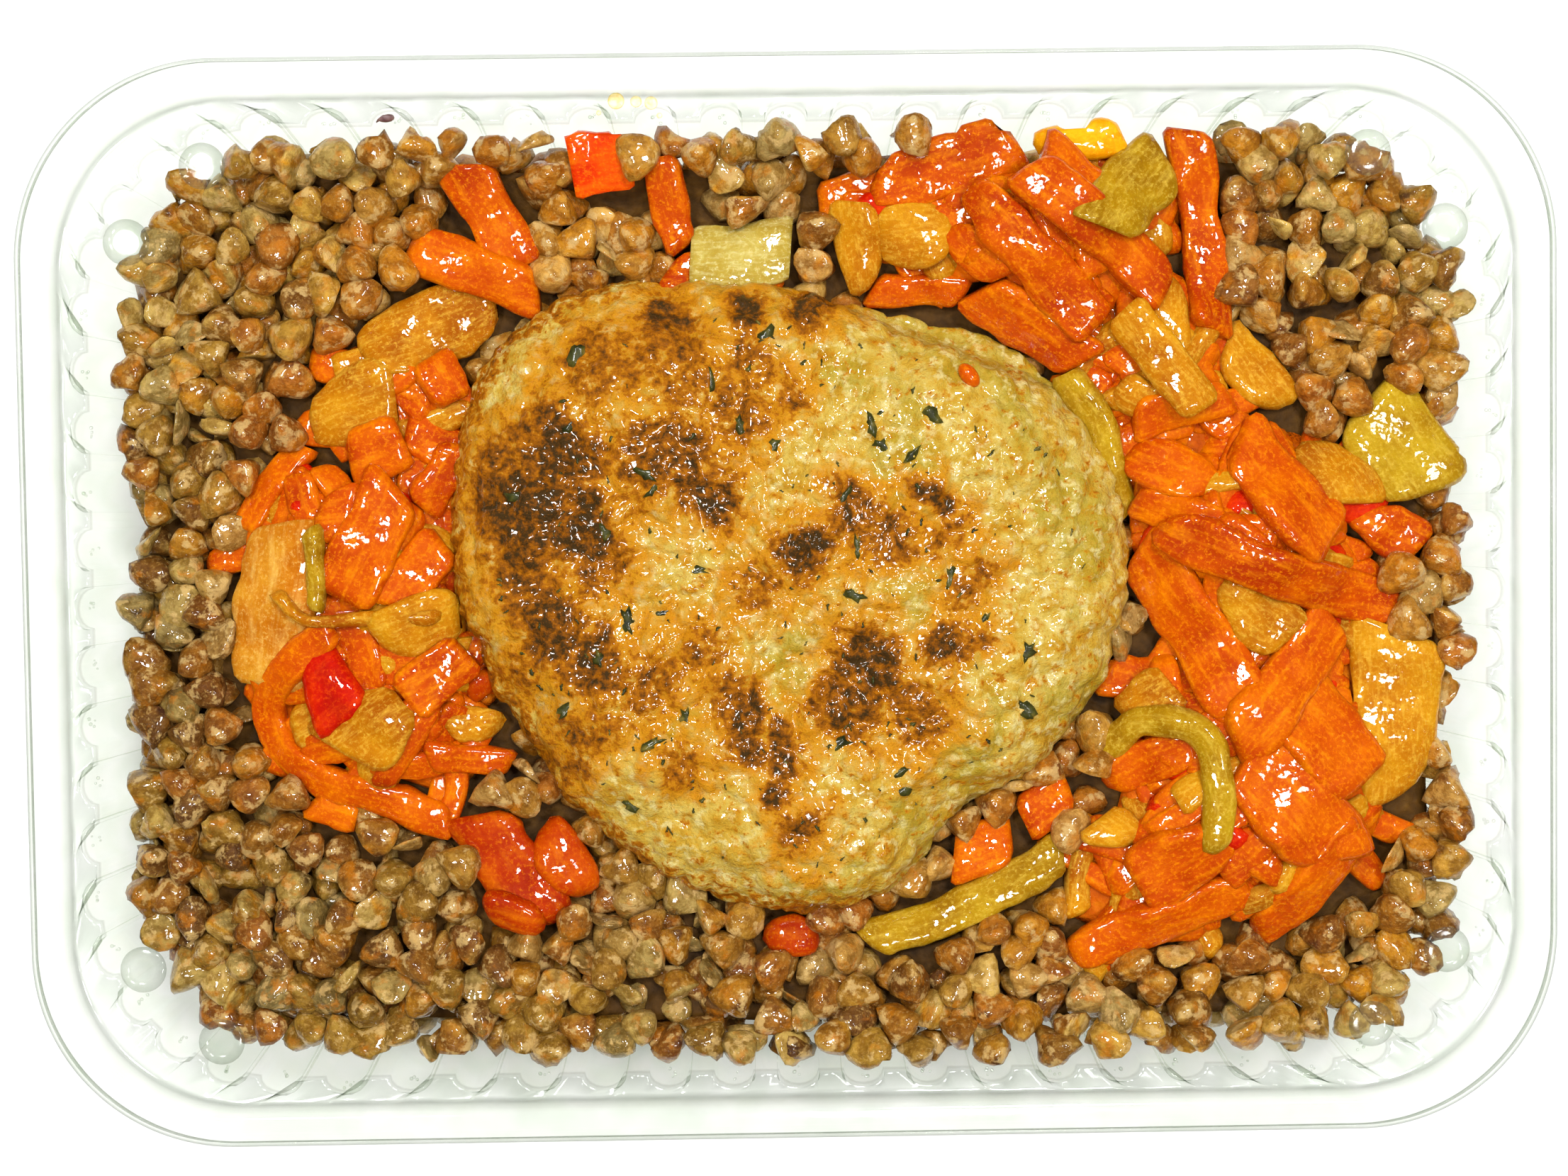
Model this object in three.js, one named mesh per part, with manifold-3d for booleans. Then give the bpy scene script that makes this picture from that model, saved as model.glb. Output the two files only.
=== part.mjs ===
// A takeaway meal in its clear fluted tray: boiled buckwheat, one browned chicken patty in the middle,
// and stewed carrot, leek and pepper round it.
// Millimetres, +Z up, +X along the long side, origin under the middle of the tray.
import * as THREE from "three";
import { mergeVertices } from "three/addons/utils/BufferGeometryUtils.js";
import Module from "manifold-3d";

const wasm = await Module();
wasm.setup();

// The tray: its outer size at the rim, and the sheet of plastic it is formed from
const TRAY_LENGTH = 186;
const TRAY_WIDTH = 132;
const TRAY_HEIGHT = 40;
const RIM_CORNER = 24.5;
const SHEET = 0.6;

// The flange, as distances in from the tray's outer edge
const LIP_BOTTOM_Z = 36.2;
const LIP_TOP_Z = 38.6;
const BEAD_INSET = 1.8;
const BEAD_Z = 39.5;
const BAND_START = 2.4;
const BAND_END = 4.8;
const LIP_TOP_INSET = 0.4;
const INNER_LIP_INSET = 1;
const INNER_BEAD_INSET = 2.1;
const INNER_BAND_START = 2.6;
const STEP_INSET = 5.2;
const STEP_CORNER = 20.5;

// The ledge below the rim, and the fluted wall that starts on it
const LEDGE_Z = 37;
const LEDGE_RISE = 0.1;
const WALL_INSET = 8.4;
const WALL_CORNER = 22.5;
const WALL_DRAFT = Math.tan((6 * Math.PI) / 180);
const FLUTE_DEPTH = 1.8;
const FLUTE_MOUTH = 4.8;
const OUTER_MOUTH = 5.76;
const FLUTE_FACETS = 3;
const LONG_PITCH = 7.9;
const LONG_FLUTES_EACH_WAY = 8;
const SHORT_PITCH = 7.12;
const SHORT_FLUTES_EACH_WAY = 5;
const CORNER_FLUTES = 4;
const FLOOR_CURVE_Z = 2.6;
const FLOOR_CURVE_INSET = 2.2;

// The food: how far it stays from the plastic, and the mound that the buckwheat makes under its top grains
const GAP = 0.35;
const MOUND_TOP = 27.4;
const MOUND_HALF_X = 84;
const MOUND_HALF_Y = 57;
const LEFT_END_DROP = 4;
const RIGHT_END_DROP = 0;
const CORNER_DROP = 2;
const SIDE_RISE = 3;
const SIDE_RISE_START = 47;
const LOWER_RISE_FROM = -45;
const LOWER_RISE_TO = 5;
const PATTY_HOLLOW = 1.6;
const HOLLOW_REACH = 1.35;
const MOUND_SHARES = [0.4, 0.62, 0.75, 0.88, 1];
const MOUND_ARC_STEPS = 4;
const MOUND_EDGE_GAP = GAP + 0.1;
const MOUND_LOW_Z = 3;

// Buckwheat grains. Each is a tip, two rings of corners and a foot, given as shares of its size.
const GRAIN_LENGTH = 6;
const GRAIN_WIDTH = 5.6;
const GRAIN_RINGS = [
  { radius: 0.42, height: 0.2 },
  { radius: 0.48, height: -0.2 },
];
const GRAIN_TIP = 0.5;
const GRAIN_FOOT = -0.4;
const GRAIN_CORNER = 1.08;
const GRAIN_FLAT = 0.9;
const GRAIN_LEAST = 0.92;
const GRAIN_SIZE_RANGE = 0.16;
const GRAIN_LEAN_LOW = -0.3;
const GRAIN_LEAN_RANGE = 1.1;
const GRAIN_SPACING = 7.6;
const GRAIN_JITTER = 1.5;
const GRAIN_RISE = 1.3;
const GRAIN_SIDES = 6;

// The patty: radii of its outline, one each 18 degrees from +X towards +Y
const PATTY_CENTRE = new THREE.Vector2(-0.5, 0.5);
const PATTY_RADII = [
  42.8, 43.6, 42.7, 40.6, 36.8, 38.7, 41.2, 46.6, 47.4, 44.6,
  41.2, 38.4, 37.9, 38.4, 39.3, 40.4, 40.0, 35.2, 38.0, 40.9,
];
const PATTY_BOTTOM = 19;
// Its side view: share of the radius and height above its bottom, from the top down
const PATTY_PROFILE = [
  [0.34, 17.6],
  [0.6, 17.1],
  [0.79, 15.8],
  [0.92, 13.2],
  [0.985, 9.8],
  [1, 6.6],
  [0.94, 2.8],
  [0.82, 0.7],
  [0.5, 0],
];
const PATTY_THICKNESS = 17.9;
const PATTY_SIDES = 44;
const PATTY_WAIST = 6.6;
const PATTY_ROOM_TOP = 60;
// Its lumps of minced meat show from one height above its bottom and are full from another. They are two
// swells, each given by its wavelengths over x and y, divided by a whole turn.
const LUMPS_FROM = 6;
const LUMPS_FULL = 14;
const PATTY_LUMPS = 0.75;
const FINE_LUMPS = 0.5;
const BROAD_SWELL = { x: 7.3, y: 6.1, xStart: 1.1, yStart: -0.6 };
const FINE_SWELL = { x: 3.4, y: 3.1, slantX: 8.7, slantY: 4.9 };
const FOLD_START = new THREE.Vector2(9, 35);
const FOLD_END = new THREE.Vector2(33, 25);
const FOLD_DEPTH = 4.2;
const FOLD_WIDTH = 3;
// Where the fold's step starts, is full, starts to end and has ended, as shares of its length
const FOLD_SPAN = [-0.25, 0.1, 0.9, 1.25];

// Cut vegetables: a strip's bottom follows the mound, lifted by its layer
const LAYER_LIFT = [0, 2.4, 4.2];
const REST_GAP = 0.75;
const CARROT_THICK = 4;
const LEEK_THICK = 2.8;
const BED_THICK = 2.4;
const STRIP_STEP = 7;
const STRIP_TOP_SHARE = 0.86;
const STRIP_END_WIDTH = 0.78;
const STRIP_END_THICKNESS = 0.72;

let seed = 20417;

// A repeatable random number from 0 to 1
function random() {
  seed = (seed * 1664525 + 1013904223) % 4294967296;
  return seed / 4294967296;
}

function solidOf(points, triangles) {
  const geometry = new THREE.BufferGeometry().setFromPoints(points);
  geometry.setIndex(triangles);
  const merged = mergeVertices(geometry, 1e-4);
  const solid = new wasm.Manifold(
    new wasm.Mesh({
      numProp: 3,
      vertProperties: merged.attributes.position.array,
      triVerts: new Uint32Array(merged.index.array),
    }),
  );
  if (solid.volume() <= 0) throw new Error("a solid is inside out");
  return solid;
}

function geometryOf(solid) {
  const mesh = solid.getMesh();
  const geometry = new THREE.BufferGeometry();
  geometry.setAttribute("position", new THREE.BufferAttribute(mesh.vertProperties, mesh.numProp));
  geometry.setIndex(new THREE.BufferAttribute(mesh.triVerts, 1));
  geometry.computeVertexNormals();
  return geometry;
}

// The largest body of a solid, without crumbs that a cut left over and with sealed hollows filled
function largestBody(solid) {
  const bodies = solid.decompose();
  return bodies.reduce((best, body) => (body.volume() > best.volume() ? body : best));
}

// One closed skin from a centre point, over rings of points, to another centre point.
// A ring is a list of points with keys that rise from 0 to 1 round it, and the rings may differ in number.
function skin(first, rings, last) {
  const points = [first];
  const triangles = [];
  const starts = rings.map((ring) => {
    const start = points.length;
    points.push(...ring.points);
    return start;
  });
  points.push(last);
  const fan = (centre, start, count, turned) => {
    for (let i = 0; i < count; i++) {
      const a = start + i;
      const b = start + ((i + 1) % count);
      triangles.push(centre, ...(turned ? [b, a] : [a, b]));
    }
  };
  fan(0, starts[0], rings[0].points.length, false);
  for (let k = 0; k + 1 < rings.length; k++) {
    zip(rings[k].keys, starts[k], rings[k + 1].keys, starts[k + 1], triangles);
  }
  const end = rings.length - 1;
  fan(points.length - 1, starts[end], rings[end].points.length, true);
  return solidOf(points, triangles);
}

// Joins two rings with triangles, always stepping on along the ring that lags behind
function zip(keysA, startA, keysB, startB, triangles) {
  const at = (start, i, keys) => start + (i % keys.length);
  const key = (keys, i) => keys[i % keys.length] + Math.floor(i / keys.length);
  let i = 0;
  let j = 0;
  while (i < keysA.length || j < keysB.length) {
    const stepB = i === keysA.length || (j < keysB.length && key(keysB, j + 1) < key(keysA, i + 1));
    const a = at(startA, i, keysA);
    const b = at(startB, j, keysB);
    if (stepB) {
      j += 1;
      triangles.push(a, b, at(startB, j, keysB));
    } else {
      i += 1;
      triangles.push(a, b, at(startA, i, keysA));
    }
  }
}

// A rounded rectangle that can be walked: quarter is a quarter of its length, and at(s) gives the point at
// distance s from the middle of the +X side, with its outward direction.
function roundedRectangle(halfX, halfY, radius) {
  const straightX = halfX - radius;
  const straightY = halfY - radius;
  const arc = (radius * Math.PI) / 2;
  const quarter = straightY + arc + straightX;
  const inFirstQuarter = (u) => {
    if (u <= straightY) return [halfX, u, 1, 0];
    if (u >= straightY + arc) return [quarter - u, halfY, 0, 1];
    const angle = (u - straightY) / radius;
    const c = Math.cos(angle);
    const s = Math.sin(angle);
    return [straightX + radius * c, straightY + radius * s, c, s];
  };
  const at = (s) => {
    const round = ((s % (4 * quarter)) + 4 * quarter) % (4 * quarter);
    const side = Math.floor(round / quarter);
    const u = round - side * quarter;
    const [x, y, nx, ny] = inFirstQuarter(side % 2 ? quarter - u : u);
    const signX = side === 1 || side === 2 ? -1 : 1;
    const signY = side >= 2 ? -1 : 1;
    return { point: new THREE.Vector2(signX * x, signY * y), out: new THREE.Vector2(signX * nx, signY * ny) };
  };
  // Distance of a point outside the outline, negative inside
  const outside = (x, y) => {
    const qx = Math.abs(x) - straightX;
    const qy = Math.abs(y) - straightY;
    return Math.hypot(Math.max(qx, 0), Math.max(qy, 0)) + Math.min(Math.max(qx, qy), 0) - radius;
  };
  return { straightX, straightY, arc, quarter, at, outside };
}

// A smooth ring on a rounded rectangle, moved out by offset, with few points on its straights
function smoothRing(outline, z, offset = 0, arcSteps = 9) {
  const shortSteps = 2;
  const longSteps = 3;
  const quarterStops = [];
  for (let i = 0; i < shortSteps; i++) quarterStops.push((outline.straightY * i) / shortSteps);
  for (let i = 0; i < arcSteps; i++) quarterStops.push(outline.straightY + (outline.arc * i) / arcSteps);
  for (let i = 0; i <= longSteps; i++) {
    quarterStops.push(outline.quarter - outline.straightX + (outline.straightX * i) / longSteps);
  }
  return ringThrough(outline, mirrored(quarterStops, outline.quarter), z, () => offset);
}

// Distances of the first quarter, repeated by mirror over the whole outline and in order
function mirrored(stops, quarter) {
  const all = stops.flatMap((u) => [u, 2 * quarter - u, 2 * quarter + u, 4 * quarter - u]);
  const inRange = all.map((s) => s % (4 * quarter)).sort((a, b) => a - b);
  return inRange.filter((s, i) => i === 0 || s - inRange[i - 1] > 1e-6);
}

function ringThrough(outline, stops, z, offsetAt) {
  const points = stops.map((s, i) => {
    const { point, out } = outline.at(s);
    const moved = point.addScaledVector(out, offsetAt(i));
    return new THREE.Vector3(moved.x, moved.y, z);
  });
  return { points, keys: stops.map((s) => s / (4 * outline.quarter)) };
}

const rimOutline = roundedRectangle(TRAY_LENGTH / 2, TRAY_WIDTH / 2, RIM_CORNER);
const stepOutline = roundedRectangle(TRAY_LENGTH / 2 - STEP_INSET, TRAY_WIDTH / 2 - STEP_INSET, STEP_CORNER);
const wallOutline = roundedRectangle(TRAY_LENGTH / 2 - WALL_INSET, TRAY_WIDTH / 2 - WALL_INSET, WALL_CORNER);

const wallOffset = (z) => -WALL_DRAFT * (LEDGE_Z - z);

// The middle of each flute, as a distance along the wall's outline
function fluteMiddles() {
  const { quarter } = wallOutline;
  const lastShort = SHORT_FLUTES_EACH_WAY * SHORT_PITCH;
  const lastLong = quarter - LONG_FLUTES_EACH_WAY * LONG_PITCH;
  const cornerPitch = (lastLong - lastShort) / (CORNER_FLUTES + 1);
  const stops = [];
  for (let i = 0; i <= SHORT_FLUTES_EACH_WAY; i++) stops.push(i * SHORT_PITCH);
  for (let i = 1; i <= CORNER_FLUTES; i++) stops.push(lastShort + i * cornerPitch);
  for (let i = LONG_FLUTES_EACH_WAY; i >= 0; i--) stops.push(quarter - i * LONG_PITCH);
  return mirrored(stops, quarter);
}

// A ring of the fluted wall. Each flute is half an ellipse, pushed out of the plain wall.
function flutedRing(z, offset, mouth, depth) {
  const perimeter = 4 * wallOutline.quarter;
  const stops = [];
  const depths = [];
  for (const middle of fluteMiddles()) {
    for (let i = 0; i <= FLUTE_FACETS; i++) {
      const angle = (i * Math.PI) / FLUTE_FACETS;
      stops.push(middle - (Math.cos(angle) * mouth) / 2);
      depths.push(depth * Math.sin(angle));
    }
  }
  // The first flute starts just before the outline's own start, so its first points go last.
  const early = stops.filter((s) => s < 0).length;
  const order = [...stops.keys()].slice(early).concat([...stops.keys()].slice(0, early));
  const turned = order.map((i) => (stops[i] + perimeter) % perimeter);
  return ringThrough(wallOutline, turned, z, (i) => offset + depths[order[i]]);
}

function makeTray() {
  const inner = (z) => flutedRing(z, wallOffset(z), FLUTE_MOUTH, FLUTE_DEPTH);
  const outer = (z) => flutedRing(z, wallOffset(z) + SHEET, OUTER_MOUTH, FLUTE_DEPTH);
  const floorOffset = wallOffset(FLOOR_CURVE_Z) - FLOOR_CURVE_INSET;
  const rings = [
    smoothRing(wallOutline, SHEET, floorOffset),
    inner(FLOOR_CURVE_Z),
    inner(LEDGE_Z),
    smoothRing(stepOutline, LEDGE_Z + LEDGE_RISE),
    smoothRing(rimOutline, TRAY_HEIGHT, -BAND_END),
    smoothRing(rimOutline, TRAY_HEIGHT, -BAND_START),
    smoothRing(rimOutline, BEAD_Z, -BEAD_INSET),
    smoothRing(rimOutline, LIP_TOP_Z, -LIP_TOP_INSET),
    smoothRing(rimOutline, LIP_BOTTOM_Z),
    smoothRing(rimOutline, LIP_BOTTOM_Z, -SHEET),
    smoothRing(rimOutline, LIP_TOP_Z - SHEET, -INNER_LIP_INSET),
    smoothRing(rimOutline, BEAD_Z - SHEET, -INNER_BEAD_INSET),
    smoothRing(rimOutline, TRAY_HEIGHT - SHEET, -INNER_BAND_START),
    smoothRing(rimOutline, TRAY_HEIGHT - SHEET, -BAND_END + SHEET),
    smoothRing(stepOutline, LEDGE_Z - SHEET, SHEET),
    outer(LEDGE_Z - SHEET),
    outer(FLOOR_CURVE_Z - SHEET),
    smoothRing(wallOutline, 0, floorOffset + SHEET / 2),
  ];
  return skin(new THREE.Vector3(0, 0, SHEET), rings, new THREE.Vector3(0, 0, 0));
}

// Radius of the patty's outline in a direction, smooth through the listed radii
const pattyCurve = new THREE.CatmullRomCurve3(
  PATTY_RADII.map((radius, i) => {
    const angle = (i * 2 * Math.PI) / PATTY_RADII.length;
    return new THREE.Vector3(radius * Math.cos(angle), radius * Math.sin(angle), 0);
  }),
  true,
);

function pattyRadius(angle) {
  const turns = (((angle / (2 * Math.PI)) % 1) + 1) % 1;
  return pattyCurve.getPoint(turns).length();
}

// How far out a place lies from the patty's middle, 1 being on its outline
function pattyShare(x, y) {
  const dx = x - PATTY_CENTRE.x;
  const dy = y - PATTY_CENTRE.y;
  return Math.hypot(dx, dy) / pattyRadius(Math.atan2(dy, dx));
}

// Lumps of minced meat on the patty's top
function pattyLump(x, y) {
  const { xStart, yStart } = BROAD_SWELL;
  const broad = Math.sin(x / BROAD_SWELL.x + xStart) * Math.cos(y / BROAD_SWELL.y + yStart);
  const { slantX, slantY } = FINE_SWELL;
  const fine = Math.sin(x / FINE_SWELL.x - y / slantY) * Math.cos(y / FINE_SWELL.y + x / slantX);
  return PATTY_LUMPS * (broad + FINE_LUMPS * fine);
}

// The far side of the fold at the upper right lies lower than the rest of the top
function foldDrop(x, y) {
  const along = FOLD_END.clone().sub(FOLD_START);
  const length = along.length();
  const dx = x - FOLD_START.x;
  const dy = y - FOLD_START.y;
  const across = (along.x * dy - along.y * dx) / length;
  const t = (along.x * dx + along.y * dy) / (length * length);
  const [start, full, ending, end] = FOLD_SPAN;
  const beside = THREE.MathUtils.smoothstep(t, start, full) * (1 - THREE.MathUtils.smoothstep(t, ending, end));
  return FOLD_DEPTH * beside * THREE.MathUtils.smoothstep(across, -FOLD_WIDTH / 2, FOLD_WIDTH / 2);
}

// The patty, or with a margin the room that everything else leaves for it
function makePatty(margin = 0) {
  const rings = PATTY_PROFILE.map(([share, height]) => {
    const points = [];
    const keys = [];
    for (let i = 0; i < PATTY_SIDES; i++) {
      const angle = (i * 2 * Math.PI) / PATTY_SIDES;
      const radius = share * pattyRadius(angle) + margin;
      const x = PATTY_CENTRE.x + radius * Math.cos(angle);
      const y = PATTY_CENTRE.y + radius * Math.sin(angle);
      const topness = THREE.MathUtils.smoothstep(height, LUMPS_FROM, LUMPS_FULL);
      const relief = topness * (pattyLump(x, y) - foldDrop(x, y));
      const grown = Math.sign(height - PATTY_WAIST) * margin;
      points.push(new THREE.Vector3(x, y, PATTY_BOTTOM + height + relief + grown));
      keys.push(i / PATTY_SIDES);
    }
    return { points, keys };
  });
  const { x, y } = PATTY_CENTRE;
  const top = new THREE.Vector3(x, y, PATTY_BOTTOM + PATTY_THICKNESS + pattyLump(x, y) + margin);
  const bottom = new THREE.Vector3(x, y, PATTY_BOTTOM - margin);
  return skin(top, rings, bottom);
}

// The room for the patty with its sides carried straight up, which leaves no thin edge over it
function makePattyRoom() {
  const column = [PATTY_ROOM_TOP, PATTY_WAIST].map((height) => {
    const points = [];
    const keys = [];
    for (let i = 0; i < PATTY_SIDES; i++) {
      const angle = (i * 2 * Math.PI) / PATTY_SIDES;
      const radius = pattyRadius(angle) + GAP;
      points.push(
        new THREE.Vector3(
          PATTY_CENTRE.x + radius * Math.cos(angle),
          PATTY_CENTRE.y + radius * Math.sin(angle),
          PATTY_BOTTOM + height,
        ),
      );
      keys.push(i / PATTY_SIDES);
    }
    return { points, keys };
  });
  const { x, y } = PATTY_CENTRE;
  const top = new THREE.Vector3(x, y, PATTY_BOTTOM + PATTY_ROOM_TOP);
  const bottom = new THREE.Vector3(x, y, PATTY_BOTTOM + PATTY_WAIST);
  return makePatty(GAP).add(skin(top, column, bottom));
}

// Height of the buckwheat mound under its top grains. It climbs the tray's long sides, on the near side
// only right of the middle, and sinks towards the corners and the left end.
function moundHeight(x, y) {
  const endwise = x / MOUND_HALF_X;
  const sideways = Math.abs(y) / MOUND_HALF_Y;
  const endDrop = endwise < 0 ? LEFT_END_DROP : RIGHT_END_DROP;
  const drop = endDrop * Math.abs(endwise) ** 3 + CORNER_DROP * (Math.abs(endwise) * sideways) ** 3;
  const hollow = PATTY_HOLLOW * (1 - THREE.MathUtils.smoothstep(pattyShare(x, y), 1, HOLLOW_REACH));
  const raised = y > 0 ? 1 : THREE.MathUtils.smoothstep(x, LOWER_RISE_FROM, LOWER_RISE_TO);
  const rise = SIDE_RISE * raised * THREE.MathUtils.smoothstep(Math.abs(y), SIDE_RISE_START, MOUND_HALF_Y);
  return MOUND_TOP - drop - hollow + rise;
}

function makeMound() {
  const edgeOffset = wallOffset(MOUND_TOP - LEFT_END_DROP - CORNER_DROP) - MOUND_EDGE_GAP;
  const edge = smoothRing(wallOutline, 0, edgeOffset, MOUND_ARC_STEPS);
  const rings = MOUND_SHARES.map((share) => ({
    keys: edge.keys,
    points: edge.points.map((p) => {
      const x = p.x * share;
      const y = p.y * share;
      return new THREE.Vector3(x, y, moundHeight(x, y));
    }),
  }));
  const lowSide = wallOffset(MOUND_LOW_Z) - MOUND_EDGE_GAP;
  rings.push(smoothRing(wallOutline, MOUND_LOW_Z, lowSide, MOUND_ARC_STEPS));
  rings.push(smoothRing(wallOutline, SHEET + GAP, lowSide - FLOOR_CURVE_INSET, MOUND_ARC_STEPS));
  const top = new THREE.Vector3(0, 0, moundHeight(0, 0));
  const bottom = new THREE.Vector3(0, 0, SHEET + GAP);
  return skin(top, rings, bottom);
}

// One boiled grain: a three-sided rounded pyramid, its length along the given direction
function makeGrain(centre, direction, turn, size) {
  const rings = GRAIN_RINGS.map((share) => {
    const points = [];
    const keys = [];
    for (let i = 0; i < GRAIN_SIDES; i++) {
      const angle = turn + (i * 2 * Math.PI) / GRAIN_SIDES;
      const radius = size * GRAIN_WIDTH * share.radius * (i % 2 ? GRAIN_FLAT : GRAIN_CORNER);
      const height = size * GRAIN_LENGTH * share.height;
      points.push(new THREE.Vector3(radius * Math.cos(angle), radius * Math.sin(angle), height));
      keys.push(i / GRAIN_SIDES);
    }
    return { points, keys };
  });
  const tip = new THREE.Vector3(0, 0, GRAIN_TIP * size * GRAIN_LENGTH);
  const foot = new THREE.Vector3(0, 0, GRAIN_FOOT * size * GRAIN_LENGTH);
  const turned = new THREE.Quaternion().setFromUnitVectors(new THREE.Vector3(0, 0, 1), direction);
  const place = (p) => p.applyQuaternion(turned).add(centre);
  rings.forEach((ring) => ring.points.forEach(place));
  return skin(place(tip), rings, place(foot));
}

// A strip of vegetable along a curve through named places. Its bottom lies on the mound or on the layer
// below, its ends are thinner than its middle, and a margin makes the room that others leave for it.
function makeStrip({ along, wide, thick = CARROT_THICK, layer = 0, margin = 0 }) {
  const places = along.map(([x, y]) => new THREE.Vector3(x, y, 0));
  const curve = new THREE.CatmullRomCurve3(places);
  const steps = Math.max(2, Math.round(curve.getLength() / STRIP_STEP));
  const rings = [];
  for (let i = 0; i <= steps; i++) {
    const t = i / steps;
    const middle = curve.getPointAt(t);
    const ahead = curve.getTangentAt(t);
    const right = new THREE.Vector3(ahead.y, -ahead.x, 0);
    const end = i === 0 || i === steps;
    if (end) middle.addScaledVector(ahead, i === 0 ? -margin : margin);
    const halfWidth = (wide / 2) * (end ? STRIP_END_WIDTH : 1) + margin;
    const height = thick * (end ? STRIP_END_THICKNESS : 1) + margin;
    const points = [
      [1, 0],
      [STRIP_TOP_SHARE, 1],
      [-STRIP_TOP_SHARE, 1],
      [-1, 0],
    ].map(([side, up]) => {
      const p = middle.clone().addScaledVector(right, side * halfWidth);
      p.z = moundHeight(p.x, p.y) + LAYER_LIFT[layer] + REST_GAP + (up ? height : -margin);
      return p;
    });
    rings.push({ points, keys: [0, 0.25, 0.5, 0.75] });
  }
  const centreOf = (ring) =>
    ring.points.reduce((sum, p) => sum.add(p), new THREE.Vector3()).multiplyScalar(1 / ring.points.length);
  return skin(centreOf(rings[0]), rings, centreOf(rings[rings.length - 1]));
}

// Pieces that lie apart from the heaps
const CARROT = 0xee6a12;
const LEEK = 0xb9a24a;
const PEPPER = 0xd8330f;
const GREEN = 0x9b9426;
const LOOSE_PIECES = [
  { name: "pepper_square", colour: PEPPER, thick: LEEK_THICK, wide: 7.4, along: [[-26.5, 52.4], [-19, 52.8]] },
  { name: "carrot_stick_across", colour: CARROT, wide: 5.6, along: [[-47.5, 44], [-31, 38.5]] },
  { name: "carrot_stick_upper", colour: CARROT, wide: 5.8, along: [[-40, 53], [-33, 41]] },
  { name: "carrot_wedge", colour: CARROT, wide: 4.4, along: [[-15.5, 53.5], [-13, 44]] },
  { name: "leek_tile", colour: LEEK, thick: LEEK_THICK, wide: 7.4, along: [[-12, 43.8], [0.5, 43.8]] },
  { name: "carrot_under_tile", colour: CARROT, wide: 5, along: [[-15, 40.9], [-0.5, 40.4]] },
  { name: "leek_shred", colour: LEEK, thick: LEEK_THICK, wide: 5.2, along: [[8, 49], [9, 40.5]] },
  { name: "carrot_upright", colour: CARROT, wide: 5, along: [[49.5, 53.5], [51.5, 46], [53, 32]] },
  { name: "pepper_tip", colour: CARROT, thick: LEEK_THICK, wide: 4.2, along: [[31.5, 53], [41, 53.5]] },
  { name: "pepper_green", colour: GREEN, thick: LEEK_THICK, wide: 9.6, along: [[72.5, 23.5], [78, 12.5]] },
  { name: "leek_slab", colour: LEEK, thick: LEEK_THICK, wide: 10.6, along: [[76, -5], [75, -26.5]] },
  { name: "celery_strip", colour: GREEN, wide: 4.6, along: [[8.5, -45], [21, -41.5], [33.5, -33.5]] },
  { name: "pepper_bit", colour: PEPPER, thick: LEEK_THICK, wide: 4.8, along: [[-4, -44], [3.5, -44.5]] },
];

// The three red petals at the lower left, which lie on one another
const PETALS = [
  { thick: LEEK_THICK, wide: 7.7, along: [[-40, -28.5], [-36.5, -34.5], [-31, -41]] },
  { thick: LEEK_THICK, wide: 6.4, along: [[-33, -32], [-28, -39]], layer: 1 },
  { thick: LEEK_THICK, wide: 4.4, along: [[-38.5, -38.5], [-31.5, -41.5]] },
];

// The heap left of the patty: low beds first, then the pieces that show on them
const LEFT_HEAP = [
  { thick: BED_THICK, wide: 12.6, along: [[-51.5, 28], [-46, 17.5]] },
  { thick: BED_THICK, wide: 15.5, along: [[-63.5, 8], [-45, 4.5]] },
  { thick: BED_THICK, wide: 15.5, along: [[-64, -3], [-43, -8]] },
  { thick: BED_THICK, wide: 10.6, along: [[-61, -13.5], [-44, -19.5]] },
  { thick: LEEK_THICK, wide: 8.2, along: [[-53, 30.5], [-38, 37]] },
  { wide: 5.3, along: [[-45.5, 31], [-44, 25]] },
  { thick: LEEK_THICK, wide: 9.2, along: [[-60, 22.5], [-50, 26]] },
  { wide: 6.8, along: [[-55, 17.5], [-48, 20]] },
  { wide: 8.2, along: [[-59, 11], [-52.5, 11.5]] },
  { wide: 7.3, along: [[-56, 0.5], [-49, 14.5]], layer: 1 },
  { thick: LEEK_THICK, wide: 10.6, along: [[-63, 10], [-66, -10.5]] },
  { wide: 5.8, along: [[-52, -0.5], [-46, 7]] },
  { thick: LEEK_THICK, wide: 10.2, along: [[-60.5, -12], [-54.5, -8]], layer: 1 },
  { thick: LEEK_THICK, wide: 7.3, along: [[-52.5, -5], [-43.5, -2]], layer: 1 },
  { wide: 5.8, along: [[-51, -13.5], [-43.5, -8]], layer: 1 },
  { thick: LEEK_THICK, wide: 10.4, along: [[-56.5, -18.5], [-49, -13]] },
  { wide: 3.6, along: [[-47, -18.5], [-40, -20]], layer: 1 },
  {
    wide: 4.1,
    layer: 1,
    along: [[-58.5, -2], [-64, -9.5], [-65.5, -15.5], [-60.5, -21.5], [-52, -24.5], [-43, -28]],
  },
];

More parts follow.
